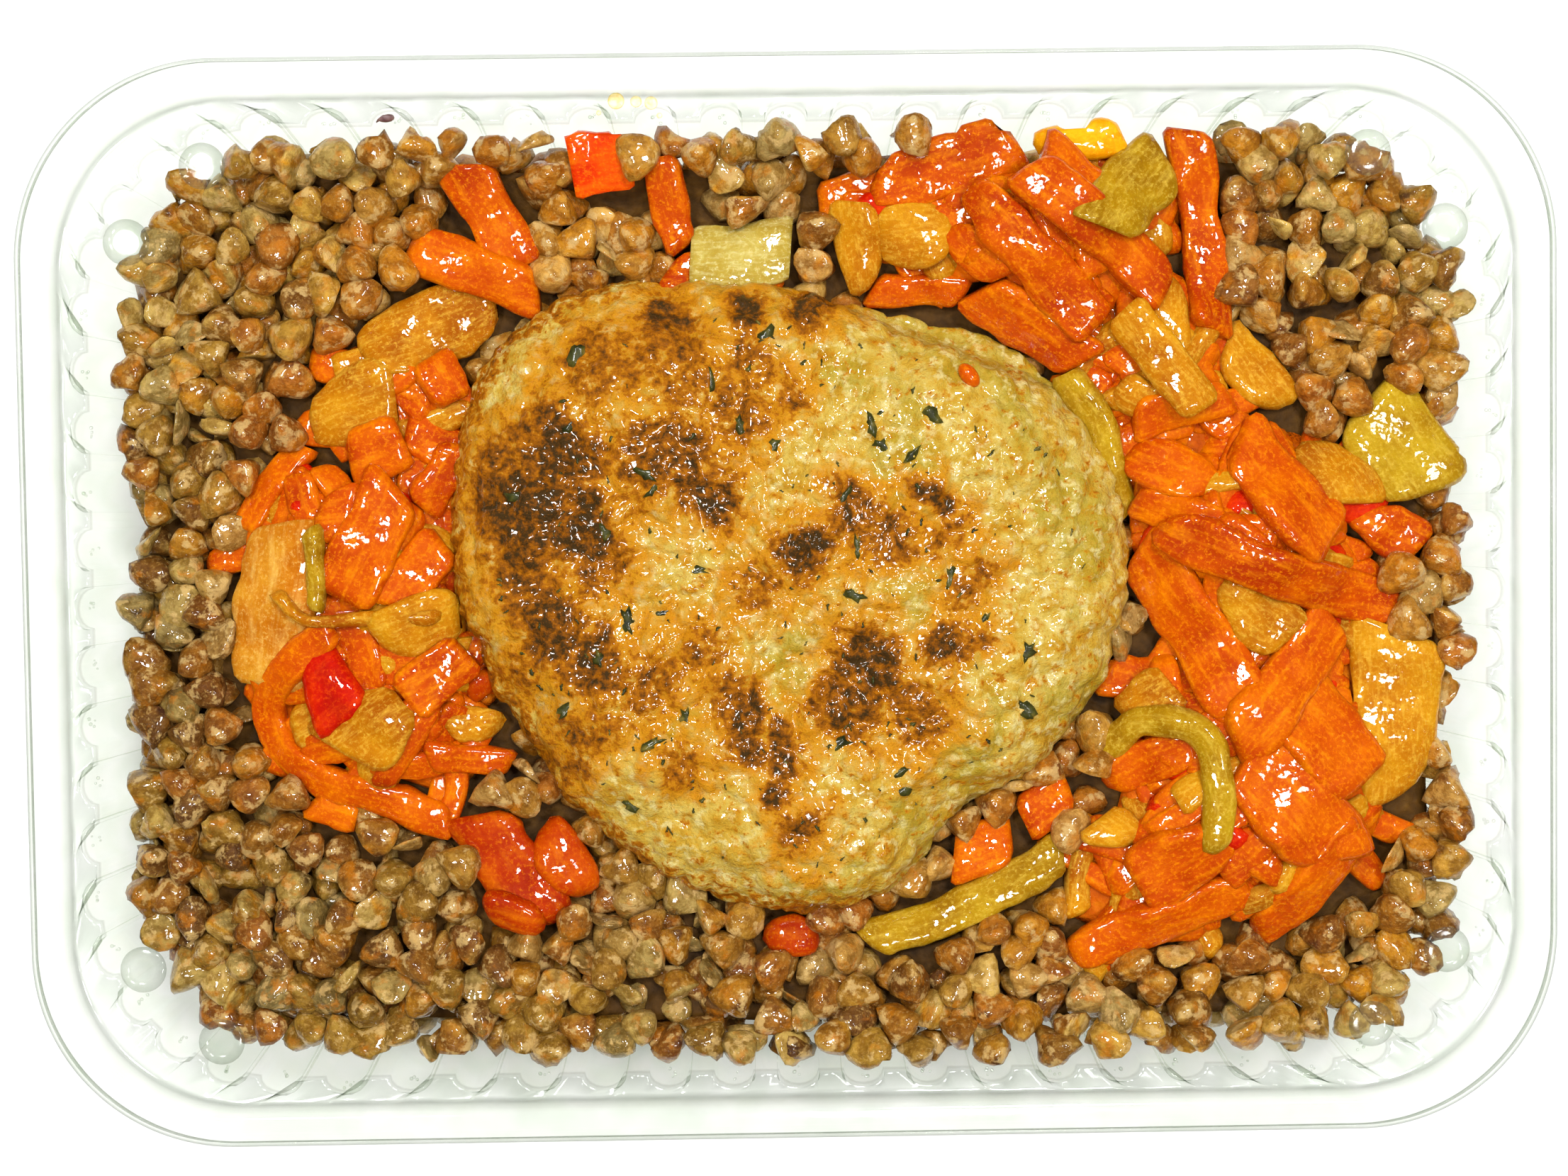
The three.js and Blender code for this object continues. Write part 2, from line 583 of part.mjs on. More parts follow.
// The larger heap right of the patty, in the same order
const RIGHT_HEAP = [
  { thick: BED_THICK, wide: 11.6, along: [[13, 46], [46, 49]] },
  { thick: BED_THICK, wide: 15, along: [[29, 46], [48, 26.5]] },
  { thick: BED_THICK, wide: 20, along: [[44, 25], [62, 5]] },
  { thick: BED_THICK, wide: 23, along: [[60, 10], [63, -30]] },
  { thick: BED_THICK, wide: 13, along: [[65, -30], [40.5, -38.5]] },
  { thick: BED_THICK, wide: 12, along: [[51, -12], [45, -33.5]] },
  { thick: LEEK_THICK, wide: 8.7, along: [[11.5, 45], [21, 45.5]], layer: 1 },
  { wide: 3.9, along: [[12, 40], [22.5, 40]] },
  { wide: 7, along: [[11.5, 49.5], [28, 52]] },
  { wide: 6, along: [[22.5, 50], [37, 33.5]], layer: 1 },
  { wide: 6, along: [[29.5, 52], [47, 37]], layer: 1 },
  { thick: LEEK_THICK, wide: 8.6, along: [[38, 44], [45.5, 51]], layer: 1 },
  { thick: LEEK_THICK, wide: 5.3, along: [[41.5, 35], [51, 22.5]], layer: 2 },
  { thick: LEEK_THICK, wide: 3.8, along: [[38, 29], [42, 20], [44, 10]] },
  { thick: LEEK_THICK, wide: 6.6, along: [[55.5, 31], [62, 23]] },
  { thick: LEEK_THICK, wide: 8.2, along: [[65.5, 18.5], [70, 9]] },
  { wide: 8.2, along: [[55.5, 19], [67, 6]], layer: 1 },
  { wide: 7, along: [[45.5, 18], [54, 13.5]], layer: 1 },
  { wide: 5.8, along: [[47, 8], [61, 2], [75.5, -1]], layer: 2 },
  { wide: 6, along: [[71.5, 9], [78, 4.5]] },
  { wide: 7.3, along: [[47, 4], [56, -12]], layer: 1 },
  { thick: LEEK_THICK, wide: 7.7, along: [[55, 0], [62.5, -6.5]], layer: 1 },
  { wide: 7.3, along: [[68, -4.5], [55.5, -19]], layer: 2 },
  { wide: 10, along: [[61, -13], [68, -26]], layer: 1 },
  { wide: 9, along: [[59, -22], [65, -35]], layer: 1 },
  {
    wide: 3.9,
    layer: 2,
    along: [[41.5, -21.5], [45, -17.5], [50.5, -18], [52.5, -25], [52, -32.5]],
  },
  { wide: 7.7, along: [[43, -35.5], [53, -30]], layer: 1 },
  { wide: 5.3, along: [[35, -46], [57, -37.5]] },
  { wide: 5.8, along: [[58, -43.5], [69, -31]] },
  { thick: LEEK_THICK, wide: 6, along: [[38, -29], [43, -32]] },
];

// Joins the strips of one heap and leaves room for the patty and for the loose pieces
function makeHeap(strips, room) {
  const joined = strips.map((strip) => makeStrip(strip)).reduce((sum, strip) => sum.add(strip));
  return largestBody(joined.subtract(room));
}

const meal = new THREE.Group();

function addNode(name, solid, material) {
  const mesh = new THREE.Mesh(geometryOf(solid), new THREE.MeshStandardMaterial(material));
  mesh.name = name;
  meal.add(mesh);
}

const pattyRoom = makePattyRoom();
const placed = [];
for (const piece of LOOSE_PIECES) {
  let solid = makeStrip(piece).subtract(pattyRoom);
  for (const other of placed) solid = solid.subtract(other.room);
  placed.push({ ...piece, solid: largestBody(solid), room: makeStrip({ ...piece, margin: GAP }) });
}
const looseRoom = placed.reduce((sum, piece) => sum.add(piece.room), pattyRoom);

const leftHeap = makeHeap(LEFT_HEAP, looseRoom);
const rightHeap = makeHeap(RIGHT_HEAP, looseRoom);
const petals = makeHeap(PETALS, looseRoom);

// Spreads grains over the mound in staggered rows, each moved a little at random, and keeps those that are
// clear of the wall and of everything that lies on the mound
function makeBuckwheat() {
  const heapsRoom = [leftHeap, rightHeap, petals].reduce((sum, heap) => sum.add(heap), looseRoom);
  let joined = makeMound().subtract(pattyRoom);
  const rowStep = GRAIN_SPACING * Math.sin(Math.PI / 3);
  const rows = Math.floor(TRAY_WIDTH / 2 / rowStep);
  const columns = Math.floor(TRAY_LENGTH / 2 / GRAIN_SPACING);
  for (let row = -rows; row <= rows; row++) {
    for (let column = -columns; column <= columns; column++) {
      const x = (column + (row % 2 ? 0.5 : 0)) * GRAIN_SPACING + (random() - 0.5) * GRAIN_JITTER;
      const y = row * rowStep + (random() - 0.5) * GRAIN_JITTER;
      const lean = [random() * 2 - 1, random() * 2 - 1, GRAIN_LEAN_LOW + GRAIN_LEAN_RANGE * random()];
      const direction = new THREE.Vector3(...lean).normalize();
      const turn = random() * Math.PI;
      const size = GRAIN_LEAST + GRAIN_SIZE_RANGE * random();
      const wallRoom = wallOffset(MOUND_TOP - LEFT_END_DROP) - wallOutline.outside(x, y);
      if (wallRoom < GRAIN_WIDTH / 2 + GAP) continue;
      const centre = new THREE.Vector3(x, y, moundHeight(x, y) + GRAIN_RISE);
      const clearance = 1 + (2 * GAP) / GRAIN_WIDTH;
      const shell = makeGrain(centre, direction, turn, size * clearance);
      if (shell.intersect(heapsRoom).volume() > 0) continue;
      joined = joined.add(makeGrain(centre, direction, turn, size));
    }
  }
  return largestBody(joined);
}

addNode("tray", makeTray(), { color: 0xe9eeea, roughness: 0.12, metalness: 0 });
addNode("buckwheat", makeBuckwheat(), { color: 0x8f6a3c, roughness: 0.45, metalness: 0 });
addNode("patty", makePatty(), { color: 0xd3aa5e, roughness: 0.4, metalness: 0 });
addNode("vegetables_left", leftHeap, { color: CARROT, roughness: 0.3, metalness: 0 });
addNode("vegetables_right", rightHeap, { color: CARROT, roughness: 0.3, metalness: 0 });
addNode("pepper_petals", petals, { color: PEPPER, roughness: 0.25, metalness: 0 });
for (const { name, solid, colour } of placed) {
  addNode(name, solid, { color: colour, roughness: 0.3, metalness: 0 });
}

export default meal;
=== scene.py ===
# Looks for a takeaway meal in its clear fluted tray: boiled buckwheat, one browned chicken patty, and
# stewed carrot, leek and pepper. Shapes are worked out in millimetres in the model's own frame, and turned
# into metres when a piece is made.
import math

import bpy
import numpy as np
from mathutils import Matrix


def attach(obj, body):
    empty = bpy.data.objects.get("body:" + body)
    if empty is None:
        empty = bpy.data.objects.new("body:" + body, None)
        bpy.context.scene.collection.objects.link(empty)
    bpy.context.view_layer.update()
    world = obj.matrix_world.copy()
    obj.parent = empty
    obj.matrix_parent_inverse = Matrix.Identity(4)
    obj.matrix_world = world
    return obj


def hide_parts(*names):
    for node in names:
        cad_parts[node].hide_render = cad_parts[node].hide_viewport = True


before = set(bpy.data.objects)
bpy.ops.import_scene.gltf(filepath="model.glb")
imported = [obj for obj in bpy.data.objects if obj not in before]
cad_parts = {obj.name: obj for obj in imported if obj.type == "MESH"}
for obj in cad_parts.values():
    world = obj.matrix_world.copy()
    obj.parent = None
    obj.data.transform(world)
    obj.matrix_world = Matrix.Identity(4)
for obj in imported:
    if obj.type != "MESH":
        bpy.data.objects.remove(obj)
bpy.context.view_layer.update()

MM = 0.001
STRIP_CHANNELS = ("along", "across", "tone", "edge")
rng = np.random.default_rng(4127)

# The tray, as in the model
TRAY_LENGTH = 186
TRAY_WIDTH = 132
TRAY_HEIGHT = 40
RIM_CORNER = 24.5
SHEET = 0.6
PLASTIC = 0.45
LIP_BOTTOM_Z = 36.2
LIP_TOP_Z = 38.6
BEAD_INSET = 1.8
BEAD_Z = 39.5
BAND_START = 2.4
BAND_END = 4.8
STEP_INSET = 5.2
STEP_CORNER = 20.5
LEDGE_Z = 37
WALL_INSET = 8.4
WALL_CORNER = 22.5
WALL_DRAFT = math.tan(math.radians(6))
FLUTE_DEPTH = 1.8
FLUTE_MOUTH = 4.8
LONG_PITCH = 7.9
LONG_FLUTES_EACH_WAY = 8
SHORT_PITCH = 7.12
SHORT_FLUTES_EACH_WAY = 5
CORNER_FLUTES = 4
FLUTE_POINTS = 9
FLOOR_CURVE_Z = 2.6
FLOOR_CURVE_INSET = 2.2

# The food's mound and the patty, as in the model
GAP = 0.35
MOUND_TOP = 27.4
MOUND_HALF_X = 84
MOUND_HALF_Y = 57
LEFT_END_DROP = 4
RIGHT_END_DROP = 0
SIDE_RISE = 3
SIDE_RISE_START = 47
CORNER_DROP = 2
LOWER_RISE_FROM = -45
LOWER_RISE_TO = 5
PATTY_HOLLOW = 1.6
HOLLOW_REACH = 1.35
PATTY_CENTRE = np.array([-0.5, 0.5])
PATTY_RADII = [
    42.8, 43.6, 42.7, 40.6, 36.8, 38.7, 41.2, 46.6, 47.4, 44.6,
    41.2, 38.4, 37.9, 38.4, 39.3, 40.4, 40.0, 35.2, 38.0, 40.9,
]
PATTY_BOTTOM = 19
PATTY_PROFILE = [
    (0, 17.9), (0.34, 17.6), (0.6, 17.1), (0.79, 15.8), (0.92, 13.2), (0.985, 9.8),
    (1, 6.6), (0.94, 2.8), (0.82, 0.7), (0.5, 0),
]
FOLD_START = np.array([9, 35])
FOLD_END = np.array([33, 25])
FOLD_DEPTH = 4.2
FOLD_GREEN = 0.85
FOLD_WIDTH = 3
FOLD_OPENS = (-0.25, 0.1)
FOLD_CLOSES = (0.9, 1.25)

# Cut vegetables: the kind each is grouped with, thickness, squareness of the section and how far it is dished
LAYERS = 3
REST_GAP = 0.75
CUTS = {
    "carrot": ("carrot", 2.5, 0.5, 0.0),
    "leek": ("leek", 1.9, 0.55, 0.35),
    "onion": ("leek", 1.7, 0.75, 0.3),
    "red_pepper": ("red_pepper", 2.2, 0.5, 0.35),
    "orange_pepper": ("red_pepper", 2.2, 0.5, 0.45),
    "bright_pepper": ("red_pepper", 1.7, 0.3, 0.1),
    "pale_leek": ("leek", 1.8, 0.4, 0.2),
    "green_pepper": ("green_pepper", 2.4, 0.6, 0.4),
    "yellow_pepper": ("carrot", 2.4, 0.6, 0.3),
}

# Guards against dividing by nothing
TINY = 1e-9
SMALL = 1e-6

# Large numbers that scramble a lattice cell and a seed into a random value
CELL_STEPS = (73856093, 19349663, 83492791)
SEED_START = 7
SEED_STEP = 40503
SCRAMBLES = [(13, 1274126177), (15, 668265263)]
LAST_SHIFT = 16
ALL_BITS = 0xFFFFFFFF


def smoothstep(value, low, high):
    share = np.clip((value - low) / (high - low), 0, 1)
    return share * share * (3 - 2 * share)


def mixed(first, second, share):
    return first * (1 - share) + second * share


# Repeatable random value from 0 to 1 for each cell of a lattice
def cell_value(cell, seed):
    h = (seed + SEED_START) * SEED_STEP
    for axis, stride in enumerate(CELL_STEPS):
        h = h ^ cell[..., axis] * stride
    for shift, factor in SCRAMBLES:
        h = (h ^ (h >> shift)) * factor & ALL_BITS
    return (h ^ (h >> LAST_SHIFT)) / ALL_BITS


# Smooth random values from -1 to 1, whose swells are about size across
def noise(points, size, seed):
    scaled = points / size
    low = np.floor(scaled).astype(np.int64)
    part = scaled - low
    part = part * part * (3 - 2 * part)
    total = 0
    for corner in np.ndindex(2, 2, 2):
        weight = np.prod(np.where(corner, part, 1 - part), axis=-1)
        total = total + weight * cell_value(low + np.array(corner), seed)
    return total * 2 - 1


# Noise in layers, each with its amount, size and seed
def layered(points, *layers):
    return sum(amount * noise(points, size, seed) for amount, size, seed in layers)


# A bell curve of a width round a middle
def bell(value, middle, width):
    return np.exp(-((value - middle) / width) ** 2)


# A smooth curve from p1 to p2 that heeds the points before and after them
def curve(p0, p1, p2, p3, t):
    bend = 2 * p0 - 5 * p1 + 4 * p2 - p3 + t * (3 * (p1 - p2) + p3 - p0)
    return p1 + 0.5 * t * (p2 - p0 + t * bend)


def circle(count):
    return np.linspace(0, 2 * math.pi, count, endpoint=False)


# Places on the ground, each with the same height
def level(x, y, z):
    return np.stack([x, y, np.full_like(x, z)], axis=-1)


# Turns u and v about a centre
def turned_about(centre, u, v, turn):
    x = centre[0] + u * math.cos(turn) - v * math.sin(turn)
    y = centre[1] + u * math.sin(turn) + v * math.cos(turn)
    return x, y


# Distances to the nearest and second nearest of scattered points, as shares of size
def cells(points, size, seed):
    scaled = points / size
    low = np.floor(scaled).astype(np.int64)
    nearest = np.full(points.shape[:-1], np.inf)
    second = nearest
    for beside in np.ndindex(3, 3, 3):
        cell = low + np.array(beside) - 1
        spot = cell + np.stack([cell_value(cell, seed + k) for k in range(3)], axis=-1)
        distance = np.linalg.norm(spot - scaled, axis=-1)
        second = np.minimum(second, np.maximum(distance, nearest))
        nearest = np.minimum(nearest, distance)
    return nearest, second


# A closed skin over rings of points, first ring on top, each anticlockwise seen from above. Columns after
# the third are values that ride along. It returns the vertices with their values, and the faces.
def loft(rings):
    rows, columns, _ = rings.shape
    first = rings[0].mean(axis=0)
    last = rings[-1].mean(axis=0)
    vertices = np.concatenate([first[None], rings.reshape(-1, rings.shape[2]), last[None]])
    index = 1 + np.arange(rows * columns).reshape(rows, columns)
    ahead = np.roll(index, -1, axis=1)
    sides = np.stack([index[:-1], index[1:], ahead[1:], ahead[:-1]], axis=-1).reshape(-1, 4)
    top = np.stack([np.zeros(columns, int), index[0], ahead[0]], axis=-1)
    end = np.full(columns, rows * columns + 1)
    bottom = np.stack([end, ahead[-1], index[-1]], axis=-1)
    return vertices, [top, sides, bottom]


def link(thing):
    bpy.context.scene.collection.objects.link(thing)


# Makes one mesh object of many lofts. Its channels name the columns after x, y and z, and paint takes three.
def add_piece(name, parts, material, channels=(), replaces=()):
    vertices = np.concatenate([part[0] for part in parts])
    faces = []
    start = 0
    for points, groups in parts:
        for group in groups:
            faces.extend((group + start).tolist())
        start += len(points)
    mesh = bpy.data.meshes.new(name)
    mesh.from_pydata(vertices[:, :3] * MM, [], faces)
    mesh.polygons.foreach_set("use_smooth", np.ones(len(faces), bool))
    column = 3
    for channel in channels:
        if channel == "paint":
            paint = np.ones((len(vertices), 4))
            paint[:, :3] = vertices[:, column : column + 3]
            layer = mesh.attributes.new("paint", "FLOAT_COLOR", "POINT")
            layer.data.foreach_set("color", paint.ravel().astype(np.float32))
            column += 3
        else:
            layer = mesh.attributes.new(channel, "FLOAT", "POINT")
            layer.data.foreach_set("value", vertices[:, column].astype(np.float32))
            column += 1
    mesh.materials.append(material)
    mesh.update()
    piece = bpy.data.objects.new(name, mesh)
    link(piece)
    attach(piece, "root")
    if replaces:
        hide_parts(*replaces)


# A screen colour of 0 to 255 as the linear values that shaders take
def srgb(red, green, blue):
    share = np.array([red, green, blue]) / 255
    return np.where(share <= 0.04045, share / 12.92, ((share + 0.055) / 1.055) ** 2.4)


def rgba(colour):
    return (*[float(value) for value in colour], 1.0)


def screen(red, green, blue):
    return rgba(srgb(red, green, blue))


COAT_IOR = 1.6


# A material's node tree. Sizes are in millimetres.
class Shading:
    def __init__(self, name):
        self.material = bpy.data.materials.new(name)
        self.material.use_nodes = True
        self.tree = self.material.node_tree
        self.shader = self.tree.nodes["Principled BSDF"]
        self.place = self.add("ShaderNodeTexCoord").outputs["Object"]

    def add(self, kind, inputs=None, **settings):
        node = self.tree.nodes.new(kind)
        for key, value in settings.items():
            setattr(node, key, value)
        for key, value in (inputs or {}).items():
            self.set(node.inputs[key], value)
        return node

    def set(self, socket, value):
        if isinstance(value, bpy.types.NodeSocket):
            self.tree.links.new(value, socket)
        else:
            socket.default_value = value

    def surface(self, **values):
        for key, value in values.items():
            self.set(self.shader.inputs[key.replace("_", " ")], value)

    def noise(self, size, detail=3.0, roughness=0.5, place=None):
        node = self.add("ShaderNodeTexNoise", {
            "Vector": place or self.place, "Scale": 1 / (size * MM), "Detail": detail, "Roughness": roughness,
        })
        return node.outputs["Fac"]

    def value(self, channel):
        return self.add("ShaderNodeAttribute", attribute_name=channel).outputs["Fac"]

    def paint(self):
        return self.add("ShaderNodeAttribute", attribute_name="paint").outputs["Color"]

    def math(self, operation, first, second=0.0):
        return self.add("ShaderNodeMath", {0: first, 1: second}, operation=operation).outputs[0]

    def spread(self, value, low, high, to_low=0.0, to_high=1.0):
        node = self.add("ShaderNodeMapRange", {0: value, 1: low, 2: high, 3: to_low, 4: to_high})
        return node.outputs[0]

    def mix(self, share, first, second, blend="MIX"):
        node = self.add("ShaderNodeMix", {0: share, 6: first, 7: second}, data_type="RGBA", blend_type=blend)
        return node.outputs[2]

    # Stops are a place from 0 to 1 and a screen colour
    def ramp(self, value, *stops):
        node = self.add("ShaderNodeValToRGB", {"Fac": value})
        elements = node.color_ramp.elements
        while len(elements) < len(stops):
            elements.new(0.5)
        for element, (place, colour) in zip(elements, stops):
            element.position = place
            element.color = screen(*colour)
        return node.outputs["Color"]

    def bump(self, height, depth, normal=None):
        inputs = {"Height": height, "Distance": depth * MM, "Strength": 1.0}
        if normal is not None:
            inputs["Normal"] = normal
        return self.add("ShaderNodeBump", inputs).outputs["Normal"]

    # An oily coat whose highlights break up over its own swells
    def coat(self, gloss, roughness, size, detail, depth):
        swells = self.bump(self.noise(size, detail, 0.5), depth)
        self.surface(Coat_Weight=gloss, Coat_Roughness=roughness, Coat_IOR=COAT_IOR, Coat_Normal=swells)


# Outward directions of a grid of points, whose rows are rings that run down the outside
def grid_normals(points):
    down = np.gradient(points, axis=0)
    ahead = np.roll(points, -1, axis=1) - np.roll(points, 1, axis=1)
    normal = np.cross(down, ahead)
    return normal / np.maximum(np.linalg.norm(normal, axis=-1, keepdims=True), TINY)


# A rounded rectangle, walked from the middle of its +X side
class Outline:
    def __init__(self, inset, corner):
        self.corner = corner
        self.straight_x = TRAY_LENGTH / 2 - inset - corner
        self.straight_y = TRAY_WIDTH / 2 - inset - corner
        self.arc = corner * math.pi / 2
        self.quarter = self.straight_y + self.arc + self.straight_x

    # The quarter that a distance falls in, and its key: 0 to 1 on the first straight, 1 to 2 on the corner
    # and 2 to 3 on the second straight
    def keys(self, distance):
        whole = np.floor(distance / self.quarter)
        quarter = whole.astype(int) % 4
        run = distance - whole * self.quarter
        run = np.where(quarter % 2, self.quarter - run, run)
        stops = [0, self.straight_y, self.straight_y + self.arc, self.quarter]
        return quarter, np.interp(run, stops, [0, 1, 2, 3])

    def at(self, keys, offset=0):
        quarter, key = keys
        angle = np.clip(key - 1, 0, 1) * math.pi / 2
        sign_x = np.where((quarter == 1) | (quarter == 2), -1, 1)
        sign_y = np.where(quarter >= 2, -1, 1)
        reach = self.corner + offset
        x = sign_x * (self.straight_x * np.clip(3 - key, 0, 1) + reach * np.cos(angle))
        y = sign_y * (self.straight_y * np.clip(key, 0, 1) + reach * np.sin(angle))
        return x, y

    # Distance of points outside the outline, negative inside
    def outside(self, x, y):
        qx = np.abs(x) - self.straight_x
        qy = np.abs(y) - self.straight_y
        beyond = np.hypot(np.maximum(qx, 0), np.maximum(qy, 0))
        return beyond + np.minimum(np.maximum(qx, qy), 0) - self.corner


rim = Outline(0, RIM_CORNER)
step = Outline(STEP_INSET, STEP_CORNER)
wall = Outline(WALL_INSET, WALL_CORNER)


def wall_offset(z):
    return -WALL_DRAFT * (LEDGE_Z - z)


MOST_OF_SIDE = 0.45


# Puts in a rounding of the given radius wherever a stack of rings turns
def rounded(rings, radius, steps):
    out = [rings[0]]
    for before, ring, after in zip(rings, rings[1:], rings[2:]):
        sides = []
        for other in (before, after):
            way = other - ring
            length = np.linalg.norm(way, axis=-1, keepdims=True)
            sides.append(ring + way * np.minimum(radius / length, MOST_OF_SIDE))
        for t in np.linspace(0, 1, steps):
            out.append((1 - t) ** 2 * sides[0] + 2 * t * (1 - t) * ring + t * t * sides[1])
    out.append(rings[-1])
    return np.array(out)


# Middles of the flutes as distances along the wall's outline, in order
def flute_middles():
    quarter = wall.quarter
    last_short = SHORT_FLUTES_EACH_WAY * SHORT_PITCH
    first_long = quarter - LONG_FLUTES_EACH_WAY * LONG_PITCH
    corner_pitch = (first_long - last_short) / (CORNER_FLUTES + 1)
    stops = [i * SHORT_PITCH for i in range(SHORT_FLUTES_EACH_WAY + 1)]
    stops += [last_short + i * corner_pitch for i in range(1, CORNER_FLUTES + 1)]
    stops += [quarter - i * LONG_PITCH for i in range(LONG_FLUTES_EACH_WAY, -1, -1)]
    whole = [s for u in stops for s in (u, 2 * quarter - u, 2 * quarter + u, 4 * quarter - u)]
    return np.unique(np.round(np.array(whole) % (4 * quarter), 6))


FLUTES = flute_middles()
FIRST_FLUTES = FLUTES[FLUTES <= wall.quarter + SMALL]
WALL_TOUCH = 0.06
FLOOR_RING_INSET = 12
STEP_RISE = 0.1
LIP_INSET = 0.4
BEND_RADIUS = 0.8
BEND_STEPS = 4

# Painted shade on the clear sheet, which shows as its grey lines and dimmer walls: how dark it is on the
# walls all over, the line under the ledge, the rim's edge and the step
WALL_SHADE = 0.02
WALL_SHADE_DROP = 0.4
LINE_SHADE = 0.6
LINE_DROP = 0.3
LINE_WIDTH = 0.22
LINE_REACH = 0.4
EDGE_INSET = 0.5
EDGE_WIDTH = 0.35
STEP_SHADE = 0.7
STEP_WIDTH = 0.3


def make_tray(material):
    middles = FLUTES
    angles = np.linspace(0, math.pi, FLUTE_POINTS)
    half_mouth = FLUTE_MOUTH / 2
    stops = middles[:, None] - np.cos(angles) * half_mouth
    depths = np.tile(np.sin(angles), (len(middles), 1))
    pillar = (middles + np.roll(middles, -1)) / 2
    pillar[-1] = (middles[-1] + middles[0] + 4 * wall.quarter) / 2
    stops = np.concatenate([stops, pillar[:, None]], axis=1).ravel()
    depths = np.concatenate([depths, np.zeros((len(middles), 1))], axis=1).ravel()
    keys = wall.keys(stops)

    def ring(outline, z, offset=0.0, flute=0.0):
        x, y = outline.at(keys, offset + flute * FLUTE_DEPTH * depths)
        return level(x, y, z)

    floor_offset = wall_offset(FLOOR_CURVE_Z) - FLOOR_CURVE_INSET
    upper = rounded(np.array([
        ring(wall, PLASTIC, floor_offset - FLOOR_RING_INSET),
        ring(wall, PLASTIC, floor_offset),
        ring(wall, FLOOR_CURVE_Z, wall_offset(FLOOR_CURVE_Z), 1),
        ring(wall, LEDGE_Z, wall_offset(LEDGE_Z), 1),
        ring(step, LEDGE_Z + STEP_RISE),
        ring(rim, TRAY_HEIGHT, -BAND_END),
        ring(rim, TRAY_HEIGHT, -BAND_START),
        ring(rim, BEAD_Z, -BEAD_INSET),
        ring(rim, LIP_TOP_Z, -LIP_INSET),
        ring(rim, LIP_BOTTOM_Z),
    ]), BEND_RADIUS, BEND_STEPS)
    lower = upper - PLASTIC * grid_normals(upper)
    lower[:2, :, 2] = 0
    skin = np.concatenate([upper, lower[::-1]])
    x, y, z = skin[..., 0], skin[..., 1], skin[..., 2]
    # Painted shade for the sheet, strongest on the line under the ledge, the rim's edge and the step's bend
    near_wall = wall.outside(x, y) < FLUTE_DEPTH + LINE_REACH
    ledge_line_shade = LINE_SHADE * bell(z, LEDGE_Z - LINE_DROP, LINE_WIDTH) * near_wall
    rim_edge_shade = bell(rim.outside(x, y), -EDGE_INSET, EDGE_WIDTH)
    bend = bell(step.outside(x, y), 0, STEP_WIDTH) * STEP_SHADE
    wall_dimming = WALL_SHADE * (z < LEDGE_Z - WALL_SHADE_DROP)
    sheet_shade = np.maximum.reduce([ledge_line_shade, rim_edge_shade, bend, wall_dimming])
    part = loft(np.concatenate([skin, sheet_shade[..., None]], axis=-1))
    add_piece("clear_tray", [part], material, ["sheet_shade"], ["tray"])


# Small round lugs formed in the ledge's corners, and beads of wet in the flutes
LUG_PLACES = [(79.5, 44), (70.2, 53)]
LUG_RADIUS = 2.8
LUG_HIGH = 0.3
LUG_LIFT = 0.02
LUG_EDGE_SHADE = 0.4
LUG_SIDES = 24
BEADS_EACH = 4
BEAD_SIDES = 8
BEAD_RADII = (0.1, 0.24)
BEAD_HIGH = 0.15
BEAD_EDGE_SHADE = 0.45
BEAD_HEIGHTS = (32, 35.5)
BEAD_INWARD = 0.35
BEAD_SPREAD = 0.7
DRY_CHANCE = 0.35

# A dome's rings: share of its radius, share of its height, a painted shade of its own and how much of the
# painted edge shade it takes
DOME_RINGS = [(0.5, 1, 0, 0), (0.86, 0.8, 0.2, 0), (1, 0.3, 0, 1), (1, 0, 0, 1), (0.5, -0.1, 0, 0)]


def dome(x, y, z, radius, high, sheet_shade, sides):
    angle = circle(sides)
    rings = []
    for share, up, ring_shade, edge_shaded in DOME_RINGS:
        ring = level(x + share * radius * np.cos(angle), y + share * radius * np.sin(angle), z + up * high)
        # Painted shade on the dome, darkest round its edge
        tint = np.full((sides, 1), ring_shade + edge_shaded * sheet_shade)
        rings.append(np.concatenate([ring, tint], axis=-1))
    return loft(np.array(rings))


def make_lugs(material):
    parts = []
    for x, y in LUG_PLACES:
        for sign_x in (-1, 1):
            for sign_y in (-1, 1):
                place = (sign_x * x, sign_y * y, LEDGE_Z + LUG_LIFT)
                parts.append(dome(*place, LUG_RADIUS, LUG_HIGH, LUG_EDGE_SHADE, LUG_SIDES))
    add_piece("tray_lugs", parts, material, ["sheet_shade"])
    beads = []
    for middle in FLUTES:
        if rng.uniform() < DRY_CHANCE:
            continue
        z = rng.uniform(*BEAD_HEIGHTS)
        x, y = wall.at(wall.keys(np.array([middle])), wall_offset(z) + FLUTE_DEPTH - BEAD_INWARD)
        for _ in range(BEADS_EACH):
            off = rng.uniform(-BEAD_SPREAD, BEAD_SPREAD, 3)
            place = kept_inside(np.array([[x[0] + off[0], y[0] + off[1], z + off[2]]]))[0]
            beads.append(dome(*place, rng.uniform(*BEAD_RADII), BEAD_HIGH, BEAD_EDGE_SHADE, BEAD_SIDES))
    add_piece("wall_beads", beads, material, ["sheet_shade"])


# A dark fleck that sticks in a flute, and pale stains of oil on the ledge
FLECK = (-48.4, 58.85, 35.4)
FLECK_SIZE = (1.15, 0.6, 0.7)
FLECK_UPS = (0.95, 0.7, 0.3, -0.3, -0.8)
STAINS = [(-20.4, 60.2, 1.0), (-18, 60.1, 0.7), (-16.2, 59.9, 0.8), (-15.2, 58.4, 0.35), (-22.5, 58.8, 0.3)]
STAIN_HIGH = 0.12


